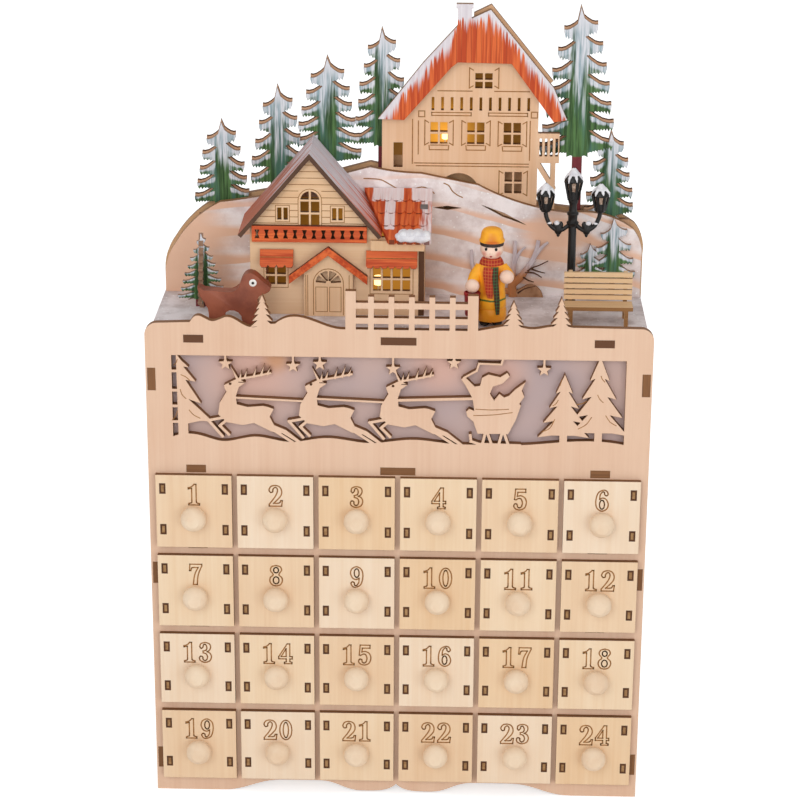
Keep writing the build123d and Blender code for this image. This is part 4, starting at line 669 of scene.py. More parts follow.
def ball(mesh, centre, radius, slot=0, stretchZ=1.0, sides=20, stretchY=1.0):
    rings = 12
    pole = Vector((0, 0, radius * stretchZ))
    points = [Vector(centre) - pole]
    for ring in range(1, rings):
        tilt = pi * ring / rings
        out = radius * sin(tilt)
        for side in range(sides):
            turn = 2 * pi * side / sides
            spot = (out * cos(turn), out * sin(turn) * stretchY, -radius * cos(tilt) * stretchZ)
            points.append(Vector(centre) + Vector(spot))
    points.append(Vector(centre) + pole)
    faces = [(0, 1 + (side + 1) % sides, 1 + side) for side in range(sides)]
    for ring in range(rings - 2):
        for side in range(sides):
            a, b = 1 + ring * sides + side, 1 + ring * sides + (side + 1) % sides
            faces.append((a, b, b + sides, a + sides))
    last = len(points) - 1
    start = 1 + (rings - 2) * sides
    faces += [(start + side, start + (side + 1) % sides, last) for side in range(sides)]
    addFaces(mesh, points, faces, slot)


def tube(mesh, path, radii, sides=10, slot=0, flat=1.0):
    path = [Vector(p) for p in path]
    points = []
    side0 = None
    for index, spot in enumerate(path):
        ahead = (path[min(index + 1, len(path) - 1)] - path[max(index - 1, 0)]).normalized()
        side0 = (side0 - ahead * side0.dot(ahead) if side0 else ahead.orthogonal()).normalized()
        side1 = ahead.cross(side0)
        for side in range(sides):
            turn = 2 * pi * side / sides
            around = (side0 * cos(turn) + side1 * sin(turn)) * radii[index]
            points.append(spot + Vector((around.x, around.y * flat, around.z)))
    stack(mesh, points, sides, slot)


def taper(path, thick, thin):
    reach = len(path) - 1
    return [thick + (thin - thick) * k / reach for k in range(reach + 1)]


def smoothLine(points, closed=False, steps=5):
    count = len(points)
    line = []
    for index in range(count if closed else count - 1):
        around = [index + k if closed else min(max(index + k, 0), count - 1) for k in (-1, 0, 1, 2)]
        p0, p1, p2, p3 = (Vector(points[k % count]) for k in around)
        for step in range(steps):
            t = step / steps
            square = (2 * p0 - 5 * p1 + 4 * p2 - p3) * t * t
            line.append(0.5 * (2 * p1 + (p2 - p0) * t + square + (3 * p1 - p0 - 3 * p2 + p3) * t ** 3))
    return line if closed else line + [Vector(points[-1])]


def ribbon(mesh, line, width, face, slot=0):
    for index, (start, end) in enumerate(zip(line, line[1:])):
        a, b = Vector(start), Vector(end)
        if (b - a).length < 1e-6:
            continue
        along = (b - a).normalized() * width / 2
        across = Vector((-along.y, along.x))
        corners = [a - along + across, b + along + across, b + along - across, a - along - across]
        top = face - 0.04 - 0.02 * (index % 2)  # overlapping lengths lie in two planes
        prism(mesh, [(c.x, top, c.y) for c in corners], [(c.x, face + 0.25, c.y) for c in corners], slot)


def plate(mesh, outline, face, depth, slot=0):
    prism(mesh, [(x, face, z) for x, z in outline], [(x, face + depth, z) for x, z in outline], slot)


def rectangle(left, right, low, high):
    return [(left, low), (right, low), (right, high), (left, high), (left, low)]


def finishPiece(name, mesh, materials, body="case", sharp=35, stands=None):
    bmesh.ops.recalc_face_normals(mesh, faces=mesh.faces)
    data = bpy.data.meshes.new(name)
    mesh.to_mesh(data)
    mesh.free()
    data.set_sharp_from_angle(angle=radians(sharp))
    for material in materials:
        data.materials.append(material)
    item = bpy.data.objects.new(name, data)
    scene.collection.objects.link(item)
    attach(item, body)
    if stands:
        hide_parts(*stands)


burntLine = plainPaint("burntLine", "#8A5A2C", "#AC7A44", 0.7, 400.0)
burntDeep = plainPaint("burntDeep", "#472A16", "#5E3A20", 0.7, 400.0)
tabEnd = plainPaint("tabEnd", "#AC865A", "#8A623A", 0.7, 500.0)


# Knobs, one turned skin on each drawer
knobLook = {
    "radius": 6.6, "length": 9.45, "sides": 32, "rings": 41, "rise": -2.5,
    "stands": 9.4,  # the drawer's front face lies this far behind the front of its box
    "profile": ((0.0, 0.64), (0.2, 0.8), (0.36, 0.985), (0.5, 1.0), (0.62, 0.98), (0.8, 0.84), (0.9, 0.7),
                (0.96, 0.585), (0.985, 0.525), (1.0, 0.49)),
}


def knobTree():
    inputs = {"Geometry": "Geometry", "Radius": "Float", "Length": "Float", "Place": "Vector",
              "Finish": "Material"}
    tree, given, made = newGroup("turnedKnob", inputs, {"Geometry": "Geometry"}, "GeometryNodeTree")
    far = wire(tree, "ShaderNodeCombineXYZ", {1: given["Length"] * -1.0})
    line = wire(tree, "GeometryNodeCurvePrimitiveLine", {"Start": (0, 0, 0), "End": far})
    line = wire(tree, "GeometryNodeResampleCurve", {"Curve": line, "Count": knobLook["rings"]})
    along = wire(tree, "GeometryNodeSplineParameter", pick="Factor")
    profile = add(tree, "ShaderNodeFloatCurve", {"Value": along})
    curve = profile.mapping.curves[0]
    for x, y in knobLook["profile"][1:-1]:
        curve.points.new(x, y)
    curve.points[0].location = knobLook["profile"][0]
    curve.points[len(curve.points) - 1].location = knobLook["profile"][-1]
    profile.mapping.update()
    width = Wire(profile.outputs[0]) * given["Radius"]
    ring = wire(tree, "GeometryNodeCurvePrimitiveCircle", {"Resolution": knobLook["sides"], "Radius": 1.0})
    names = {"Curve": line, "Profile Curve": ring, "Scale": width, "Fill Caps": True}
    solid = wire(tree, "GeometryNodeCurveToMesh", names)
    moved = wire(tree, "GeometryNodeTransform", {"Geometry": solid, "Translation": given["Place"]})
    endTree(tree, wire(tree, "GeometryNodeSetShadeSmooth", {"Geometry": moved}), given, made)
    return tree


def endTree(tree, shape, given, made):
    whole = wire(tree, "GeometryNodeRealizeInstances", {"Geometry": shape})
    names = {"Geometry": whole, "Material": given["Finish"]}
    feed(made["Geometry"], wire(tree, "GeometryNodeSetMaterial", names))


def bakeNodes(name, tree, values, start=None):
    item = bpy.data.objects.new(name, start or bpy.data.meshes.new(name + "Start"))
    scene.collection.objects.link(item)
    modifier = item.modifiers.new("nodes", "NODES")
    modifier.node_group = tree
    for socket in tree.interface.items_tree:
        if socket.in_out == "INPUT" and socket.name in values:
            modifier[socket.identifier] = values[socket.name]
    ready = item.evaluated_get(bpy.context.evaluated_depsgraph_get())
    data = bpy.data.meshes.new_from_object(ready)
    item.modifiers.remove(modifier)
    item.data = data
    return item


def makeKnobs():
    tree = knobTree()
    values = {"Radius": knobLook["radius"] * mm, "Length": knobLook["length"] * mm}
    values["Finish"] = plainPaint("knobWood", wood["knob"], "#E6C8A8", 0.5, 60.0)
    for number in range(1, 25):
        name = f"drawer_{number:02d}"
        low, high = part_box(name)
        level = (low.z + high.z) / 2 + knobLook["rise"] * mm
        values["Place"] = Vector(((low.x + high.x) / 2, low.y + knobLook["stands"] * mm, level))
        knob = bakeNodes(f"knob_{number:02d}", tree, values)
        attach(knob, name)
    print("24 knobs turned")


makeKnobs()


# Numbers and tab ends on the drawer fronts
def oval(x, z, wide, tall):
    return [[(x + wide * cos(pi * k / 6), z + tall * sin(pi * k / 6)) for k in range(13)]]


def pen(start, *steps):
    strokes, last = [], start
    for step in steps:
        run = [last] + (step if isinstance(step, list) else [step])
        strokes.append([(x / 100, z / 100) for x, z in run])
        last = run[-1]
    return strokes


# a digit is drawn in hundredths of its height; points in a list make one curve
six = [
    pen((20, 56), [(22, 78), (32, 92), (40, 90), (42, 80), (50, 74), (57, 83), (48, 98), (32, 100), (12, 86),
                   (3, 50),
                   (8, 16), (30, 0), (52, 10), (59, 32), (50, 55), (34, 63), (20, 56)]),
    oval(0.31, 0.31, 0.11, 0.21),
]
digitLines = {
    "0": [oval(0.31, 0.5, 0.28, 0.5), oval(0.31, 0.5, 0.12, 0.39)],
    "1": [pen((8, 0), (56, 0), (56, 7), [(44, 11), (42, 20)], (42, 100), (34, 100), [(22, 88), (7, 83)],
              (7, 77),
              (22, 80), (22, 20), [(20, 11), (8, 7)], (8, 0))],
    "2": [pen((4, 0), (60, 0), (63, 27), (56, 27), [(51, 17), (40, 14)], (24, 14),
              [(42, 32), (58, 54), (60, 76), (50, 94), (32, 100), (13, 95), (4, 79), (10, 67), (20, 69),
               (22, 82),
               (32, 91), (41, 83), (40, 66), (28, 42), (4, 9)], (4, 0))],
    "3": [pen((6, 78), [(10, 93), (30, 100), (50, 93), (55, 76), (48, 60), (38, 54)],
              [(52, 46), (58, 28), (50, 8), (28, 0), (8, 8), (3, 22), (9, 31), (18, 27), (19, 17), (27, 9),
               (36, 14),
               (40, 28), (34, 43), (20, 48)], (20, 57),
              [(34, 62), (38, 76), (32, 90), (23, 89), (20, 78), (12, 70), (6, 78)])],
    "4": [pen((28, 0), (62, 0), (62, 7), (53, 10), (53, 24), (64, 24), (64, 36), (53, 36), (53, 100), (41, 100),
              (2, 36), (2, 24), (36, 24), (36, 10), (28, 7), (28, 0)),
          pen((36, 36), (36, 76), (13, 36), (36, 36))],
    "5": [pen((10, 100), (55, 100), (55, 85), (20, 85), (18, 65),
              [(34, 68), (52, 58), (59, 36), (52, 11), (32, 0), (11, 5), (3, 18), (8, 29), (17, 27), (20, 15),
               (29, 10),
               (38, 18), (41, 35), (35, 52), (24, 55), (12, 48)], (6, 50), (10, 100))],
    "6": six,
    "7": [pen((4, 68), (10, 68), [(14, 81), (23, 84)], (43, 84), [(27, 48), (20, 0)], (38, 0),
              [(43, 48), (60, 92)],
              (60, 100), (6, 100), (4, 68))],
    "8": [pen((31, 100), [(50, 94), (56, 77), (44, 56), (57, 40), (59, 22), (49, 5), (31, 0), (13, 5), (3, 22),
                          (5, 40),
                          (18, 55), (6, 75), (12, 94), (31, 100)]),
          oval(0.31, 0.77, 0.11, 0.13), oval(0.31, 0.27, 0.13, 0.17)],
    "9": [[[(0.62 - x, 1 - z) for x, z in stroke] for stroke in loop] for loop in six],
}
numberLook = {
    "height": 11.6, "step": 8.6, "rise": 3.7, "line": 0.68, "middle": 0.31, "tabWide": 3.3, "tabTall": 5.9,
    "tabs": ((-16.3, 12.65), (-16.3, -10.25), (16.3, 12.65), (16.3, -10.25)),
}


def makeNumbers():
    size = numberLook["height"]
    halfWide, halfTall = numberLook["tabWide"] / 2, numberLook["tabTall"] / 2
    for number in range(1, 25):
        name = f"drawer_{number:02d}"
        low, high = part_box(name)
        face = low.y / mm + knobLook["stands"]
        centreX = (low.x + high.x) / 2 / mm
        centreZ = (low.z + high.z) / 2 / mm
        foot = centreZ + numberLook["rise"]
        mesh = bmesh.new()
        digits = str(number)
        for index, digit in enumerate(digits):
            left = centreX + (index - (len(digits) - 1) / 2) * numberLook["step"] - numberLook["middle"] * size
            for stroke in [stroke for loop in digitLines[digit] for stroke in loop]:
                path = smoothLine(stroke, steps=4) if len(stroke) > 2 else [Vector(p) for p in stroke]
                ribbon(mesh, [(left + p.x * size, foot + p.y * size) for p in path], numberLook["line"], face)
        for x, z in numberLook["tabs"]:
            cx, cz = centreX + x, centreZ + z
            corners = rectangle(cx - halfWide, cx + halfWide, cz - halfTall, cz + halfTall)[:4]
            plate(mesh, corners, face - 0.03, 0.3, 1)
            inner = [(cx + (px - cx) * 0.42, cz + (pz - cz) * 0.62) for px, pz in corners]
            plate(mesh, inner, face - 0.06, 0.3, 2)
        finishPiece(f"number_{number:02d}", mesh, [burntLine, burntDeep, tabEnd], name)
    print("24 numbers drawn")


makeNumbers()


# Engraved lines
lineWide = {"chalet": 0.55, "cottage": 0.36, "arch": 0.4, "leaf": 0.35, "panel": 0.42, "rein": 0.45,
            "hill": 0.6}


def shutters(x, z, wide, tall, hook=2.0):
    lines = []
    for side in (-1, 1):
        edge = x + side * wide
        inner = edge - side * hook
        top, foot = z + tall, z - tall
        lines.append([(inner, top - hook * 0.6), (edge, top), (edge, foot), (inner, foot + hook * 0.6)])
    return lines


chaletRim = {
    "line": ((36.2, 408.8), (44.6, 412.6), (75.5, 374.9), (78.2, 377.0), (45.3, 417.0), (36.2, 412.5)),
    "behind": 0.1, "deep": 3.6,
}


def makeChaletLines():
    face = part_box("chalet_front")[0].y / mm
    lines = []
    for x, z in ((18.7, 348.8), (38.2, 348.8), (57.4, 348.5)):
        lines += shutters(x, z, 7.5, 6.7)
        lines.append([(x - 5.2, z - 6.9), (x - 5.0, z - 9.2), (x + 5.0, z - 9.2), (x + 5.2, z - 6.9)])
        lines.append([(x - 4.4, z - 6.7), (x + 4.4, z - 6.7)])
    lines += shutters(42.0, 378.3, 7.7, 5.4)
    lines += shutters(58.3, 321.8, 7.5, 6.7)
    for left, right in ((14.8, 35.5), (44.7, 65.2)):
        lines += [[(left, level), (right, level)] for level in (359.7, 358.1)]
        lines += [[(left, 359.7), (left, 358.1)], [(right, 359.7), (right, 358.1)]]
    lines += [[(17.9, 371.3), (35.8, 371.3)], [(47.7, 371.3), (65.9, 371.3)]]
    for x in (9.5, 68.8):
        lines.append([(x - 1.6, 357.3), (x + 1.6, 357.3), (x + 1.6, 360.4), (x - 1.6, 360.4), (x - 1.6, 357.3)])
    lines += [[(4.7, 355.8), (4.7, 332)], [(7.8, 355), (7.8, 337.2)], [(66.7, 355.5), (66.7, 334.5)]]
    lines += [[(5.7, 332.3), (66.2, 332.3)], [(6.8, 330.8), (66.2, 330.8)]]
    mesh = bmesh.new()
    for line in lines:
        ribbon(mesh, line, lineWide["chalet"], face)
    plate(mesh, chaletRim["line"], face + chaletRim["behind"], chaletRim["deep"], 1)
    finishPiece("chaletLines", mesh, [burntLine, sheetMaterial("roofRim", (0, 1, 0), "#DDB48E", "#CDA078")])


gable = {"x": -47.2, "apex": 344.7, "slope": 49.5, "step": 3.45, "archLow": 308.6, "archMid": 322.2,
         "archHalf": 6.1}
porchDoor = {"x": -37.6, "fan": 278.7, "half": 7.8, "foot": 261.6, "leafLow": 263.2, "leafHigh": 276.6}


def makeCottageLines():
    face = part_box("cottage_front")[0].y / mm
    mesh = bmesh.new()
    middle, apex, arch = gable["x"], gable["apex"], gable["archHalf"]
    slope = tan(radians(gable["slope"]))
    holes = [(middle - arch, middle + arch, 300, gable["archMid"] + arch)]
    holes += [(x - 3.6, x + 3.6, 310.7, 319.5) for x in (-61.4, -33.0)]
    level = 341.0
    while level > 309:
        half = (apex - level) / slope - 0.8
        start = middle - half
        cuts = sorted((a, b) for a, b, low, high in holes if low < level < high)
        for a, b in cuts + [(middle + half, middle + half)]:
            if a - start > 1.0:
                ribbon(mesh, [(start, level), (a, level)], lineWide["cottage"], face)
            start = b
        level -= gable["step"]
    curve = [(middle + arch * cos(pi * k / 12), gable["archMid"] + arch * sin(pi * k / 12)) for k in range(13)]
    ribbon(mesh, [(middle + arch, gable["archLow"])] + curve + [(middle - arch, gable["archLow"])],
           lineWide["cottage"], face)
    for x in (-61.4, -33.0):
        ribbon(mesh, rectangle(x - 3.6, x + 3.6, 310.7, 319.5), lineWide["cottage"], face)
    for left, right, low, high in ((-71.4, -58.8, 275.2, 288.4), (-16.0, 6.4, 272.4, 288.4)):
        ribbon(mesh, [(left, high), (left, low), (right, low), (right, high)], lineWide["cottage"], face)
    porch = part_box("porch_front")[0].y / mm
    door, half, foot = porchDoor["x"], porchDoor["half"], porchDoor["foot"]
    curve = [(door + half * cos(pi * k / 14), porchDoor["fan"] + half * sin(pi * k / 14)) for k in range(15)]
    ribbon(mesh, [(door + half, foot)] + curve + [(door - half, foot)], lineWide["arch"], porch)
    for left, right in ((-6.6, -0.6), (0.6, 6.6)):
        ribbon(mesh, rectangle(door + left, door + right, porchDoor["leafLow"], porchDoor["leafHigh"]),
               lineWide["leaf"], porch)
    for x in (-49.4, -48.4, -26.8):
        ribbon(mesh, [(x, 261.2), (x, 283)], lineWide["leaf"], porch)
    for left, right in ((-72.9, -56.1), (-17.7, 8.3)):  # one line across each awning
        tube(mesh, [(left, -5.02, 292.55), (right, -5.02, 292.55)], (0.24, 0.24), 6)
    plate(mesh, rectangle(-74.5, -18.6, 302.2, 307.6)[:4], face - 0.03, 0.2, 1)  # painted shade: a dark sheet behind the rail's holes
    finishPiece("cottageLines", mesh, [burntLine, burntDeep])


panelMarks = (
    ((-111.7, 239.1), (-109.2, 237.9), (-107.3, 236.1)), ((-112.3, 231.1), (-111.4, 228.3), (-109.5, 226.2)),
    ((-107.9, 219.9), (-105.7, 217.3), (-102.4, 215.5)), ((-113.5, 247.3), (-114.1, 245.7), (-115.1, 244.4)),
    ((-114.0, 219.3), (-115.0, 216.5), (-116.7, 214.3)), ((83.5, 239.2), (83.3, 237.7), (82.9, 236.2)),
    ((103.7, 241.5), (104.4, 239.8), (105.7, 238.4)), ((79.5, 225.1), (81.1, 226.3), (82.1, 228.1)),
    ((92.0, 226.0), (94.3, 226.4), (96.6, 227.7)), ((102.3, 231.2), (103.4, 229.0), (105.2, 227.2)),
    ((74.3, 210.7), (78.2, 212.8), (80.6, 217.6)), ((92.9, 212.6), (96.8, 215.0), (99.5, 219.0)),
    ((106.8, 220.0), (109.1, 216.6), (112.3, 214.6)), ((39.9, 222.6), (48.3, 222.3), (56.7, 222.8)),
    ((38.9, 219.1), (49.0, 219.6), (58.7, 221.0)),
)
deerHeads = ((-86.5, 234.6), (-44.9, 234.9), (-2.7, 234.6))


def makePanelMarks():
    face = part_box("front_panel")[0].y / mm
    mesh = bmesh.new()
    for line in panelMarks:
        ribbon(mesh, smoothLine(line, steps=4), lineWide["panel"], face)
    for x, z in deerHeads:
        lathe(mesh, ((-0.2, 0.75), (0.04, 0.75)), (x, face, z), (0, -1, 0), 14, 1)
        ribbon(mesh, [(x + 4.5, z + 0.9), (x + 7.4, z + 0.9)], lineWide["rein"], face, slot=1)
    finishPiece("panelMarks", mesh, [burntLine, burntDeep])


hillLines = (
    ((-20.7, 324.5), (-17.0, 324.4), (-11.8, 323.9), (-7.3, 321.6), (-3.6, 319.5), (-0.6, 318.6)),
    ((1.6, 318.7), (4.6, 318.7), (7.6, 319.7), (10.6, 320.2), (14.3, 318.8), (16.5, 316.9)),
    ((21.7, 322.4), (24.3, 321.1), (26.2, 318.2), (28.8, 316.1), (31.5, 314.8)),
)


def makeHillLines():
    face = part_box("hill_panel")[0].y / mm
    mesh = bmesh.new()
    for line in hillLines:
        ribbon(mesh, smoothLine(line, steps=4), lineWide["hill"], face)
    finishPiece("hillLines", mesh, [burntLine])


makePanelMarks()
makeHillLines()
makeChaletLines()
makeCottageLines()
print("engraved lines cut")


# Scalloped tiles on the annex roof
tileLook = {
    "Pitch": 4.75, "Row Step": 11.1, "First": -0.9, "Right": 15.7, "Edge Y": -7.48, "Edge Z": 304.13,
    "Valley X": -6.95,
    "Slope": 20.5, "Valley Lean": 0.2996, "Columns": 8, "Rows": 4, "length": 12.4, "thick": 0.8, "thin": 0.15,
}
tileSizes = ("Pitch", "Row Step", "First", "Right", "Edge Y", "Edge Z", "Valley X")  # those in millimetres
annexSnow = {
    "lumps": ((-1.2, 1.2, 1.9, 1.6), (1.4, 3.6, 3.0, 2.2), (4.8, 3.0, 3.3, 2.5), (8.8, 3.6, 3.6, 2.4),
              (12.6, 2.8, 3.0, 2.1)),
    "roll": ((-2.2, 0.9), (0, 2.0), (2.5, 1.7), (5, 2.1), (7.5, 1.8), (10, 2.3), (12.5, 1.9), (15.2, 1.1)),
}
snowWhite = plainPaint("snowWhite", "#F2F1F3", "#D5D2D8", 0.7, 260.0, 0.35)
slateGrey = plainPaint("slateGrey", "#7A7472", "#5F5A59", 0.6, 300.0)


def tileShape():
    half = tileLook["Pitch"] / 2 - 0.05
    curve = ((1.0, 2.3), (0.85, 1.1), (0.45, 0.25))
    outline = [(-half * a, s) for a, s in curve] + [(0, 0)] + [(half * a, s) for a, s in reversed(curve)]
    outline += [(half, tileLook["length"]), (-half, tileLook["length"])]
    fall = (tileLook["thick"] - tileLook["thin"]) / tileLook["length"]
    mesh = bmesh.new()
    tops = [(x, s, tileLook["thick"] - fall * s) for x, s in outline]
    prism(mesh, [(x, s, -0.3) for x, s in outline], tops)
    bmesh.ops.recalc_face_normals(mesh, faces=mesh.faces)
    data = bpy.data.meshes.new("annexTile")
    mesh.to_mesh(data)
    mesh.free()
    return data


def tileTree():
    inputs = {"Geometry": "Geometry"}
    inputs.update({label: "Float" for label in tileSizes})
    inputs.update({"Slope": "Float", "Valley Lean": "Float", "Columns": "Int", "Rows": "Int",
                   "Finish": "Material"})
    tree, given, made = newGroup("tileRows", inputs, {"Geometry": "Geometry"}, "GeometryNodeTree")
    grid = wire(tree, "GeometryNodeMeshGrid", {"Vertices X": given["Columns"], "Vertices Y": given["Rows"]})
    index = wire(tree, "GeometryNodeInputIndex")
    row = maths("MODULO", index, given["Rows"])
    column = maths("FLOOR", (index + 0.5) / given["Rows"])
    shift = maths("MODULO", row, 2.0) * 0.5  # every other row is half a tile along
    x = given["Right"] - (column + 0.5 + shift) * given["Pitch"]
    up = given["First"] + row * given["Row Step"]
    y = given["Edge Y"] + up * maths("COSINE", given["Slope"])
    z = given["Edge Z"] + up * maths("SINE", given["Slope"])
    spot = wire(tree, "ShaderNodeCombineXYZ", {0: x, 1: y, 2: z})
    valley = given["Valley X"] - up * given["Valley Lean"]
    kept = maths("GREATER_THAN", x - given["Pitch"] * 0.25, valley)  # none lies under the steep roof
    placed = wire(tree, "GeometryNodeSetPosition", {"Geometry": grid, "Position": spot})
    turn = wire(tree, "ShaderNodeCombineXYZ", {0: given["Slope"]})
    names = {"Points": placed, "Selection": kept, "Instance": given["Geometry"], "Rotation": turn}
    endTree(tree, wire(tree, "GeometryNodeInstanceOnPoints", names), given, made)
    return tree


def onAnnex(x, up, lift=0.0):
    lean = radians(tileLook["Slope"])
    y = tileLook["Edge Y"] + up * cos(lean) - lift * sin(lean)
    return (x, y, tileLook["Edge Z"] + up * sin(lean) + lift * cos(lean))


def makeAnnexTiles():
    values = {label: tileLook[label] * mm for label in tileSizes}
    values.update({label: tileLook[label] for label in ("Valley Lean", "Columns", "Rows")})
    values.update({"Slope": radians(tileLook["Slope"]), "Finish": annexTiles})
    tiles = bakeNodes("annexTileRows", tileTree(), values, tileShape())
    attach(tiles, "case")
    mesh = bmesh.new()
    for x, up, wide, tall in annexSnow["lumps"]:
        ball(mesh, onAnnex(x, up, 0.5), wide, 0, tall / wide, 18, 1.45)
    tube(mesh, [onAnnex(x, -0.2, 0.1) for x, thick in annexSnow["roll"]],
         [thick for x, thick in annexSnow["roll"]], 14)
    lean = radians(tileLook["Slope"])
    corners = [Vector(onAnnex(11.6 + a, 27 + b, 0.4)) for a, b in ((-2, -1.7), (2, -1.7), (2, 1.7), (-2, 1.7))]
    prism(mesh, corners, [corner + Vector((0, -sin(lean), cos(lean))) * 0.9 for corner in corners], 1)
    finishPiece("annexSnow", mesh, [snowWhite, slateGrey], "case", 40)
    print("annex roof tiled")


makeAnnexTiles()


# Lamp post
lampLook = {
    "x": 89.4, "y": 16.573, "deck": 260.7, "reach": 14.3, "armLevel": 48.0, "armDrop": 6.0,
    "post": ((0, 5.0), (0.9, 5.0), (1.3, 4.3), (2.4, 4.0), (3.2, 3.0), (4.4, 2.5), (13, 2.25), (13.6, 2.8),
             (14.6, 2.8),
             (15.2, 2.2), (44.6, 2.1), (45.6, 3.0), (46.6, 3.3), (47.6, 2.4), (50.2, 2.5), (51, 3.1),
             (51.9, 3.1),
             (52.6, 2.2), (56.4, 2.0), (57.4, 2.5), (58.4, 2.6)),
    "arm": ((0.0, 0.0), (0.2, -0.62), (0.5, -1.0), (0.8, -0.55), (0.96, 0.2), (1.0, 0.75)),
    "leaves": (  # across, ahead, up, radius, slot, tall, sides, deep
        (7.4, 0, 43.2, 2.3, 0, 1.55, 14, 0.6), (9.0, 0, 44.6, 1.5, 0, 1.5, 12, 0.6),
        (6.1, 0, 45.1, 1.3, 0, 1.5, 12, 0.6),
        (7.4, 0, 39.8, 0.9, 0, 1.4, 10, 1.0), (8.3, 0.4, 46.3, 1.5, 2, 0.8, 12, 0.9),
        (12.2, 0.2, 46.2, 1.3, 2, 0.6, 12, 0.9),
    ),
}


def makeLantern(mesh, x, y, foot, body, cap):
    lathe(mesh, ((-0.6, 1.6), (0, 2.5), (0.8, 2.7), (1.2, 2.2)), (x, y, foot), sides=12)
    lathe(mesh, ((0.9, 2.0), (body - 0.3, 3.6)), (x, y, foot), sides=6, slot=1)
    for k in range(6):
        turn = pi * k / 3
        low = (x + 2.3 * cos(turn), y + 2.3 * sin(turn), foot + 0.6)
        high = (x + 4.15 * cos(turn), y + 4.15 * sin(turn), foot + body)
        tube(mesh, (low, high), (0.7, 0.95), 6)
    lathe(mesh, ((0.5, 2.6), (body * 0.42, 3.2), (body * 0.5, 3.0)), (x, y, foot), sides=6)
    top = foot + body
    rings = ((-0.5, 4.4), (0, 5.0), (0.7, 4.9), (cap * 0.45, 3.2), (cap * 0.8, 1.5), (cap - 0.4, 0.8),
             (cap, 0.5))
    lathe(mesh, rings, (x, y, top), sides=12)
    snow = ((0.42, 3.2), (0.5, 3.45), (0.66, 2.6), (0.86, 1.5), (0.97, 0.8), (1.0, 0.2))
    lathe(mesh, [(cap * share, radius) for share, radius in snow], (x, y, top), sides=14, slot=2)
    for k in range(7):
        turn = 2 * pi * k / 7 + x
        drip = ((2.6, cap * 0.52), (4.1 + 0.5 * (k % 2), cap * 0.26), (4.95, -0.5 + 0.7 * (k % 3)))
        tube(mesh, [(x + r * cos(turn), y + r * sin(turn), top + h) for r, h in drip], (0.9, 0.7, 0.2), 8, 2)


def makeLampPost():
    x, y, deck = lampLook["x"], lampLook["y"], lampLook["deck"]
    mesh = bmesh.new()
    lathe(mesh, lampLook["post"], (x, y, deck), sides=20)
    level = deck + lampLook["armLevel"]
    for side in (-1, 1):
        arm = [(x + side * lampLook["reach"] * a, y, level + lampLook["armDrop"] * b) for a,
               b in lampLook["arm"]]
        path = smoothLine(arm, steps=4)
        tube(mesh, path, [1.15] * len(path), 10)
        for across, ahead, up, radius, slot, tall, sides, deep in lampLook["leaves"]:
            ball(mesh, (x + side * across, y - ahead, deck + up), radius, slot, tall, sides, deep)
        makeLantern(mesh, arm[-1][0], y, arm[-1][2], 9.0, 6.2)
    makeLantern(mesh, x, y, deck + 58.0, 11.0, 7.0)
    black = plainPaint("lampBlack", "#0D0B0A", "#171413", 0.36, 300.0, 0.3)
    pane = plainPaint("lampPane", "#D8C0AC", "#8A6A56", 0.25, 420.0)
    finishPiece("lampPost", mesh, [black, pane, snowWhite], "case", 40, ["lamp_post"])
    print("lamp post built")


makeLampPost()


# Small figure in a yellow coat
figureLook = {
    "x": 47.0, "y": -13.425, "deck": 260.7,
    "coat": ((3.0, 7.9), (3.5, 8.3), (8.6, 8.0), (9.4, 7.5), (10.2, 8.0), (14.0, 7.7), (19.0, 7.1),
             (25.0, 7.3), (29.6, 7.6),
             (32.2, 6.6), (34.0, 4.8), (35.0, 3.9)),
    "scarf": ((31.2, 5.7), (32.2, 6.3), (33.4, 6.2), (34.6, 5.6), (35.6, 4.9), (35.9, 4.2)),
    "cap": ((44.2, 6.1), (44.5, 6.6), (45.3, 6.6), (45.8, 6.0), (47.6, 5.8), (49.6, 5.4), (50.9, 4.5),
            (51.6, 3.0), (51.8, 0.5)),
    "basket": ((7.0, 3.3), (7.2, 3.5), (17.9, 4.0), (18.1, 4.25), (19.3, 4.25), (19.5, 3.7), (18.6, 3.4)),
    "redTail": ((-1.7, 32.2, 2.4), (-2.0, 28, 2.3), (-1.4, 22, 2.0), (-0.6, 16.0, 1.4)),
    "greenTail": ((1.6, 32.2, 1.9), (1.9, 27, 1.5), (2.6, 20, 1.4), (3.2, 13, 1.4), (3.5, 7.2, 0.9)),
    "hair": ((42.3, 5.5), (42.6, 6.1), (44.3, 6.2), (45.0, 5.9)),
    "head": 40.4, "headRadius": 6.0, "eyes": (-2.95, 2.05), "eyeLevel": 41.4, "nose": 39.2, "mouth": 37.5,
    "turn": -0.45,
    "rightArm": ((-5.2, -0.4, 30.4), (-8.3, -2.6, 26.6), (-9.6, -5.4, 23.6), (-9.83, -7.4, 22.6)),
    "rightHand": (-9.83, -8.06, 22.6),
    "leftArm": ((5.2, -0.4, 30.4), (8.2, -2.4, 27.4), (8.6, -5.6, 26.6), (7.9, -7.9, 27.3)),
    "leftHand": (7.79, -8.57, 27.8),
}


def coatMaterial():
    material, tree = begin("coatYellow", 0.34)
    cover = coat(tree, "#FFB52E", "#F5A01E", 130.0)
    x, y, z = axes(tree)
    colour = blend(fade(z, 270.5 * mm, 269.8 * mm) * 0.25, cover["Colour"], paint("#C8641A"))
    hem = z + streaks(tree, (1, 1, 0), 180.0) * (1.6 * mm)
    colour = blend(within(hem, 275.6 * mm, 276.5 * mm), colour, paint("#4E6B2A"))
    front = within(x, 41.5 * mm, 52.5 * mm, 0.0016) * fade(z, 276 * mm, 279 * mm) * fade(y, -18 * mm, -20 * mm)
    return close(material, blend(front * 0.75, colour, paint("#C2451C")), cover["Height"], 0.12, 0.0001)


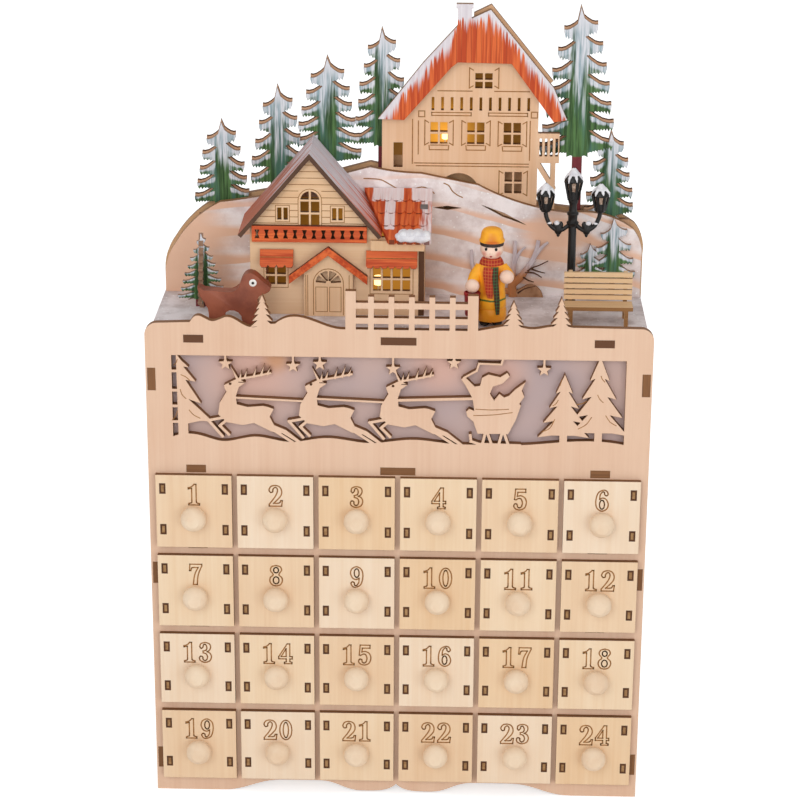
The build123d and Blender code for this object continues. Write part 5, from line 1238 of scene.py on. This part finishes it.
def skinMaterial():
    material, tree = begin("palePaint", 0.38)
    cover = coat(tree, "#FADCC8", "#F0C8B0", 120.0)
    x, y, deck = figureLook["x"], figureLook["y"], figureLook["deck"]
    left, right = figureLook["eyes"]
    cheeks = [(x + across, y - 4.6, deck + 38.6) for across in (left - 1.6, right + 1.5)]
    blush = most(*[fade(reachFrom(tree, spot), 2.6 * mm, 0.6 * mm) for spot in cheeks])
    return close(material, blend(blush * 0.75, cover["Colour"], paint("#E08878")), cover["Height"], 0.08,
                 0.0001)


def plaidMaterial(name, base, band, line):
    material, tree = begin(name, 0.7)
    x, _, z = axes(tree)
    cover = coat(tree, base, band, 380.0)
    colour = cover["Colour"]
    for spread, run, width in ((x, 1.5, 0.3), (z, 1.7, 0.35)):
        wave = maths("FRACT", spread / (run * mm))
        colour = blend(within(wave, 0.1, 0.1 + width / run, 0.06) * 0.6, colour, paint(line))
    return close(material, colour, cover["Height"], 0.4)


def coatRadius(level):
    rings = figureLook["coat"]
    for (low, wide), (high, narrow) in zip(rings, rings[1:]):
        if low <= level <= high:
            return wide + (narrow - wide) * (level - low) / (high - low)
    return rings[-1][1]


def scarfTail(mesh, base, spots, slot):
    edges = []
    for x, z, half in spots:
        for across in (x - half, x, x + half):
            radius = max(coatRadius(z), 6.4)
            y = -sqrt(radius ** 2 - across ** 2)
            edges.append(((across, y - 0.75), (across, y + 0.5), z))
    points = [base + Vector((*spot[side], spot[2])) for spot in edges for side in (0, 1)]
    faces = []
    last = len(spots) - 1
    for i in range(last):
        for j in range(2):
            a, b = 2 * (i * 3 + j), 2 * (i * 3 + j + 1)
            c, d = a + 6, b + 6
            faces += [(a, b, d, c), (a + 1, c + 1, d + 1, b + 1)]
        left, right = 6 * i, 6 * i + 4
        faces += [(left, left + 6, left + 7, left + 1), (right, right + 1, right + 7, right + 6)]
    for start in (0, 6 * last):
        faces += [(start, start + 1, start + 3, start + 2), (start + 2, start + 3, start + 5, start + 4)]
    addFaces(mesh, points, faces, slot)


def makeFigure():
    base = Vector((figureLook["x"], figureLook["y"], figureLook["deck"]))
    mesh = bmesh.new()
    lathe(mesh, figureLook["coat"], base, sides=32)
    for side in ("right", "left"):
        path = smoothLine([base + Vector(p) for p in figureLook[side + "Arm"]], steps=4)
        tube(mesh, path, taper(path, 3.4, 2.7), 18)
        ball(mesh, base + Vector(figureLook[side + "Hand"]), 3.7, 2, 0.96)
    for x in (-3.3, 3.3):
        ball(mesh, base + Vector((x, -2.2, 1.45)), 2.75, 1, 0.54, 20, 1.65)
    lathe(mesh, figureLook["scarf"], base, sides=32, slot=3)
    scarfTail(mesh, base, figureLook["redTail"], 3)
    scarfTail(mesh, base, figureLook["greenTail"], 4)
    middle = base + Vector((0, 0, figureLook["head"]))
    radius = figureLook["headRadius"]
    ball(mesh, middle, radius, 2, 0.95, 32)
    lathe(mesh, figureLook["hair"], base, sides=32, slot=5)
    lathe(mesh, figureLook["cap"], base, sides=32)

    def onFace(across, level):
        out = sqrt(radius ** 2 - across ** 2 - (level - figureLook["head"]) ** 2)
        return base + Vector((across, -out, level))

    for across in figureLook["eyes"]:
        ball(mesh, onFace(across, figureLook["eyeLevel"]), 0.8, 6, 1.15, 12, 0.45)
    ball(mesh, onFace(figureLook["turn"], figureLook["nose"]), 0.6, 2, 0.9, 12)
    ball(mesh, onFace(figureLook["turn"], figureLook["mouth"]), 0.75, 7, 0.5, 12, 0.5)
    hand = Vector(figureLook["rightHand"])
    lathe(mesh, figureLook["basket"], base + Vector((hand.x, hand.y, 0)), sides=24, slot=7)
    looks = [
        coatMaterial(),
        plainPaint("shoeBlack", "#1A1614", "#2C2522", 0.3, 200.0),
        skinMaterial(),
        plaidMaterial("scarfRed", "#B8301F", "#8E1F18", "#CF7A3C"),
        plaidMaterial("scarfGreen", "#4A2018", "#2E2A1C", "#3E7A45"),
        plainPaint("hairBrown", "#2A1C18", "#3A2A24", 0.5, 400.0),
        plainPaint("eyeBlack", "#1C1616", "#2A2020", 0.2, 300.0),
        plainPaint("basketRed", "#A5262A", "#7E1A20", 0.45, 220.0),
    ]
    finishPiece("figurePaint", mesh, looks, "case", 50, ["figure"])
    print("figure painted")


makeFigure()


# Dog, a rounded carved board
dogLook = {
    "left": -104.0, "deck": 260.7, "long": 37.5, "tall": 28.4, "front": -23.425, "deep": 8.0, "round": 1.8,
    "eye": (-75.4, 284.0),
    "outline": ((0.0, 0.74), (0.08, 0.65), (0.18, 0.665), (0.34, 0.64), (0.5, 0.645), (0.56, 0.72),
                (0.6, 0.86), (0.65, 0.965),
                (0.72, 1.0), (0.8, 0.96), (0.9, 0.84), (0.99, 0.745), (1.0, 0.69), (0.96, 0.635), (0.88, 0.59),
                (0.815, 0.53), (0.825, 0.34),
                (0.8, 0.12), (0.79, 0.0), (0.62, 0.0), (0.61, 0.14), (0.56, 0.27), (0.47, 0.29), (0.38, 0.27),
                (0.35, 0.12),
                (0.34, 0.0), (0.16, 0.0), (0.15, 0.2), (0.12, 0.39), (0.03, 0.55)),
}


def makeDog():
    left, deck = dogLook["left"], dogLook["deck"]
    spots = [(left + a * dogLook["long"], deck + b * dogLook["tall"]) for a, b in dogLook["outline"]]
    line = [(p.x, max(p.y, deck)) for p in smoothLine(spots, True, 3)]
    mesh = bmesh.new()
    plate(mesh, line, dogLook["front"], dogLook["deep"])
    rim = [edge for edge in mesh.edges if abs(edge.verts[0].co.y - edge.verts[1].co.y) < 1e-6]
    turned = {"offset": dogLook["round"] * mm, "segments": 4, "profile": 0.6, "affect": "EDGES",
              "clamp_overlap": True}
    bmesh.ops.bevel(mesh, geom=rim, **turned)
    for face in mesh.faces:
        face.smooth = True
    x, z = dogLook["eye"]
    eye = (x, dogLook["front"], z)
    lathe(mesh, ((-0.5, 1.95), (0.25, 1.95), (0.35, 1.8)), eye, (0, -1, 0), 24, 1)
    lathe(mesh, ((0, 0.75), (0.5, 0.75), (0.6, 0.6)), eye, (0, -1, 0), 18, 2)
    looks = [
        plainPaint("dogBrown", "#9C5840", "#7C402E", 0.42, 90.0, 0.2),
        plainPaint("eyeWhite", "#F4F1EC", "#E6E2DC", 0.3, 200.0),
        plainPaint("noseBlack", "#241A18", "#33241F", 0.25, 200.0),
    ]
    finishPiece("dogPaint", mesh, looks, "case", 50, ["dog"])
    print("dog carved")


makeDog()


# Firs, each cut from sheet with boughs that droop and lift again at the tip
firLook = {"droop": 0.4, "thick": 0.33, "hang": 0.17, "core": 0.3, "swell": 0.4, "lag": 0.3, "skirt": 0.9,
           "sink": 1.6, "lip": 0.5, "front": 0.5, "line": 0.3, "rear": 0.5}
firSheets = (
    ("leftFirs", "trees_left", 44.075, 4.0, 1.8, 290.0, (-109.65, -7.65, 260.7, 301.6),
     ((-96.9, 353.8, 309.4, 15.3, 5, 4), (-66.9, 372.9, 320.0, 15.6, 5, 9), (-40.5, 388.7, 331.9, 18.4, 6, 2),
      (-11.7, 404.1, 342.0, 15.8, 6, 7))),
    ("rightFirs", "trees_right", 44.075, 4.0, 2.6, 290.0, (79.05, 121.1, 260.7, 301.6),
     ((92.06, 416.8, 337.7, 20.2, 7, 5), (109.9, 350.5, 304.0, 13.7, 5, 8))),
    ("hillFirs", "hill_trees", 33.075, 3.0, 1.6, 260.7, None,
     ((112.2, 305.2, 270.1, 12.7, 4, 6), (100.1, 290.6, 268.6, 9.5, 4, 3))),
)


def firSide(half, tall, tiers, lag, dice, swell):
    step = tall / (tiers + firLook["skirt"])
    boughs = []
    for tier in range(1, tiers + 1):
        reach = half * (tier / tiers) ** swell * dice.uniform(0.93, 1.0)
        core = firLook["core"] * reach * (tier / tiers) ** 0.3 + 0.25
        boughs.append((reach, core, (tier - 0.45 + lag) * step))
    edge = [(0.2, 0.08 * step)]
    for index, (reach, core, root) in enumerate(boughs):
        wide = reach - core
        drop = min(firLook["droop"] * reach, 0.62 * step) * dice.uniform(0.86, 1.0)
        edge += [(core + wide * a, root + drop * b) for a,
                 b in ((0, 0), (0.25, 0.46), (0.55, 0.86), (0.8, 1.0), (1.0, 0.95))]
        low = root + 0.95 * drop + firLook["thick"] * step * dice.uniform(0.8, 1.0)
        edge.append((reach - 0.1, low - 0.1 * step))
        nextCore, nextRoot = core * 0.9, tall - 0.12 * step
        if index < tiers - 1:
            nextCore, nextRoot = boughs[index + 1][1], root + step
        teeth = max(2, int((reach - nextCore) / 1.5))
        start = reach - 0.45
        for tooth in range(teeth):
            for share, hang in (((tooth + 0.35) / teeth, dice.uniform(0.6, 1.2)), ((tooth + 1) / teeth, 0.0)):
                level = low + (nextRoot - 0.06 * step - low) * share ** 1.3
                edge.append((start + (nextCore - start) * share,
                             level + hang * firLook["hang"] * step * (1.2 - share)))
    return edge


def firOutline(half, tall, tiers, seed, trunk, swell=None):
    dice = Random(seed)
    swell = swell or firLook["swell"]
    right = firSide(half, tall, tiers, 0.0, dice, swell)
    left = firSide(half, tall, tiers, firLook["lag"], dice, swell)
    edge = [(0.0, 0.0)] + right
    for side in (1, -1):
        skirt = [(side * trunk * 2.2, tall + 0.6), (side * trunk * 1.4, tall - 0.3), (side * trunk, tall)]
        edge += skirt if side > 0 else list(reversed(skirt))
    return edge + [(-across, down) for across, down in reversed(left)]


def addFir(mesh, layer, tree, top, face, depth, turned=False, slot=0):
    middle, half, tall, tiers = tree["middle"], tree["half"], tree["tall"], tree["tiers"]
    levels = list(tree["outline"])
    trunk = [k for k, (across, down) in enumerate(levels) if down == tall]
    ground = top - tree["foot"]
    levels[trunk[0] + 1:trunk[0] + 1] = [(levels[k][0], ground) for k in trunk[:2]]
    rows = []
    for side in (face, face + depth):
        rows.append([(side, middle + a, top - d) if turned else (middle + a, side, top - d) for a, d in levels])
    for vert, (across, down) in zip(prism(mesh, rows[0], rows[1], slot), levels * 2):
        vert[layer] = (across / half, down / tall, tiers + firLook["skirt"])


def makeFirs():
    back = sheetMaterial("firBack", (0, 1, 0), "#D9B294", "#C0936F")
    looks = [firMaterial("firSheet", (0, 1, 0), 0.2), burntDeep, back]
    lip, line, rear = firLook["lip"], firLook["line"], firLook["rear"]
    for name, node, face, depth, trunk, foot, band, trees in firSheets:
        mesh = bmesh.new()
        layer = mesh.verts.layers.float_vector.new("firSpot")
        for index, (x, top, low, half, tiers, seed) in enumerate(trees):
            tree = {"middle": x, "half": half, "tall": top - low, "tiers": tiers, "foot": foot}
            tree["outline"] = firOutline(half, top - low, tiers, seed, trunk)
            near = face + 0.08 * index  # no two trees share a plane
            if not band:
                addFir(mesh, layer, tree, top, near, depth - 0.1 - 0.08 * index)
                continue
            front = firLook["front"] * depth
            addFir(mesh, layer, tree, top - firLook["sink"], near, front)
            rest = depth - front - 0.1 - 0.08 * index
            body = rest - line - rear
            layers = ((lip, front, body, 2), (0.0, front + body, line, 1), (0.3, rest + front - rear, rear, 2))
            for drop, start, thick, slot in layers:
                addFir(mesh, layer, tree, top - drop, near + start - 0.01, thick + 0.01, slot=slot)
        if band:
            plate(mesh, rectangle(*band)[:4], face + 0.4, depth - 0.45, 2)
        finishPiece(name, mesh, looks, "case", 35, [node])
    print("fir sheets cut")


crossLook = {"x": -105.2, "y": 10.57, "top": 300.7, "foot": 260.7, "tall": 36.0, "half": 13.3, "tiers": 8,
             "sheet": 2.4, "trunk": 3.4, "swell": 0.8}


def makeCrossFir():
    mesh = bmesh.new()
    layer = mesh.verts.layers.float_vector.new("firSpot")
    sheet = crossLook["sheet"]
    for turned, seed in ((False, 11), (True, 12)):
        tree = dict(crossLook)
        tree["outline"] = firOutline(tree["half"], tree["tall"], tree["tiers"], seed, tree["trunk"],
                                     tree["swell"])
        tree["middle"], across = (tree["y"], tree["x"]) if turned else (tree["x"], tree["y"])
        addFir(mesh, layer, tree, tree["top"], across - sheet / 2, sheet, turned, int(turned))
    looks = [firMaterial("crossSheet", (0, 1, 0), 0.18), firMaterial("crossTurned", (1, 0, 0), 0.18)]
    finishPiece("crossFir", mesh, looks, "case", 35, ["cross_tree"])
    print("slotted fir built")


makeFirs()
makeCrossFir()


# Bare bush against the hill
bushLook = {
    "y": 34.2, "flat": 0.62,
    "boughs": (
        (((59.6, 260.7), (58.9, 266.9), (62.8, 271.1), (66.3, 275.8), (69.2, 280.5), (71.3, 286.0),
          (72.4, 292.2)), 2.6, 1.0),
        (((69.6, 282.0), (72.6, 286.2), (75.2, 289.3), (77.6, 291.2)), 1.3, 0.6),
        (((59.4, 264.0), (58.9, 269.0), (59.2, 274.9), (59.9, 284.0), (60.1, 291.6)), 2.1, 0.9),
        (((59.8, 279.0), (61.2, 283.0), (63.2, 286.2), (65.5, 288.4)), 1.2, 0.5),
        (((58.9, 263.5), (50.0, 265.0), (42.0, 269.0), (38.4, 274.6), (37.0, 280.0), (36.8, 286.6)), 1.9, 0.8),
    ),
    "twigs": (
        ((66.8, 275.4), (70.0, 277.4), (73.3, 278.7), (77.8, 281.1)),
        ((64.5, 272.0), (67.4, 270.2), (70.4, 269.2)),
        ((68.9, 276.6), (72.5, 275.2), (76.3, 274.3)), ((62.0, 263.0), (66.0, 265.6), (71.5, 267.0)),
        ((65.5, 274.5), (70.5, 274.2), (74.6, 271.8)),
    ),
    "tuft": ((59.5, 260.7), (61.0, 264.0), (64.0, 265.6), (67.5, 267.4), (71.5, 266.8), (74.4, 264.0),
             (75.6, 260.7)),
}


def bushMaterial():
    material, tree = begin("bushWood", 0.65)
    streak = streaks(tree, (1, 1, 0.3), 420.0, 3.0, 0.65)
    bark = blend(streak, paint("#A8622F"), paint("#C58A5C"))
    frost = blend(streak, paint("#A9969A"), paint("#E4DADD"))
    high = axes(tree)[2] + streak * (6 * mm)
    return close(material, blend(fade(high, 275 * mm, 283 * mm), bark, frost), streak, 0.4, 0.0003)


def makeBush():
    y = bushLook["y"]
    mesh = bmesh.new()
    for spots, thick, thin in bushLook["boughs"]:
        path = smoothLine([(x, y, z) for x, z in spots], steps=4)
        tube(mesh, path, taper(path, thick, thin), 12, 0, bushLook["flat"])
    for spots in bushLook["twigs"]:
        path = smoothLine([(x, y - 0.7, z) for x, z in spots], steps=4)
        tube(mesh, path, taper(path, 0.55, 0.25), 8, 1)
    plate(mesh, [(p.x, p.y) for p in smoothLine(bushLook["tuft"], steps=3)], y - 0.9, 2.2, 2)
    looks = [bushMaterial(), burntDeep, plainPaint("rootWash", "#B58A68", "#8C5F40", 0.7, 220.0, 0.4)]
    finishPiece("bushBranches", mesh, looks, "case", 45, ["bush"])
    print("bush grown")


makeBush()


# Lights and floor
lightLook = {
    "ambient": 0.62, "floor": 6000,
    "lamps": (("keyLight", (-0.5, -1.6, 1.05), (0, 0, 0.25), 1.0, 9.0),
              ("fillLight", (0.9, -1.5, 0.2), (0, 0, 0.15), 1.0, 6.8)),
}


def seenRays(tree):
    rays = wires(add(tree, "ShaderNodeLightPath"))
    return most(rays["Is Camera Ray"], rays["Is Glossy Ray"], rays["Is Transmission Ray"])


def setLight():
    world = bpy.data.worlds.new("studioWorld")
    scene.world = world
    world.use_nodes = True
    back = world.node_tree.nodes["Background"]
    back.inputs["Color"].default_value = (1, 1, 1, 1)
    feed(back.inputs["Strength"], lightLook["ambient"] + seenRays(world.node_tree) * (1 - lightLook["ambient"]))
    for name, spot, aim, size, power in lightLook["lamps"]:
        data = bpy.data.lights.new(name, "AREA")
        data.energy = power
        data.size = size
        lamp = bpy.data.objects.new(name, data)
        lamp.location = spot
        lamp.rotation_euler = (Vector(aim) - Vector(spot)).to_track_quat("-Z", "Y").to_euler()
        scene.collection.objects.link(lamp)


def setFloor():
    material, tree = begin("paleFloor", 0.9)
    shader = shaderOf(material)
    shader.inputs["Base Color"].default_value = (0.92, 0.92, 0.92, 1)
    glow = wire(tree, "ShaderNodeEmission", {"Color": (1, 1, 1, 1), "Strength": seenRays(tree) * 0.6})
    both = wire(tree, "ShaderNodeAddShader", {0: Wire(shader.outputs[0]), 1: glow})
    feed(tree.nodes["Material Output"].inputs[0], both)
    mesh = bmesh.new()
    far = lightLook["floor"]
    addFaces(mesh, [(x, z, 0) for x, z in rectangle(-far, far, -far, far)[:4]], [(0, 1, 2, 3)])
    data = bpy.data.meshes.new("floor")
    mesh.to_mesh(data)
    mesh.free()
    data.materials.append(material)
    floor = bpy.data.objects.new("floor", data)
    scene.collection.objects.link(floor)


setLight()
setFloor()
scene.view_settings.view_transform = "Standard"
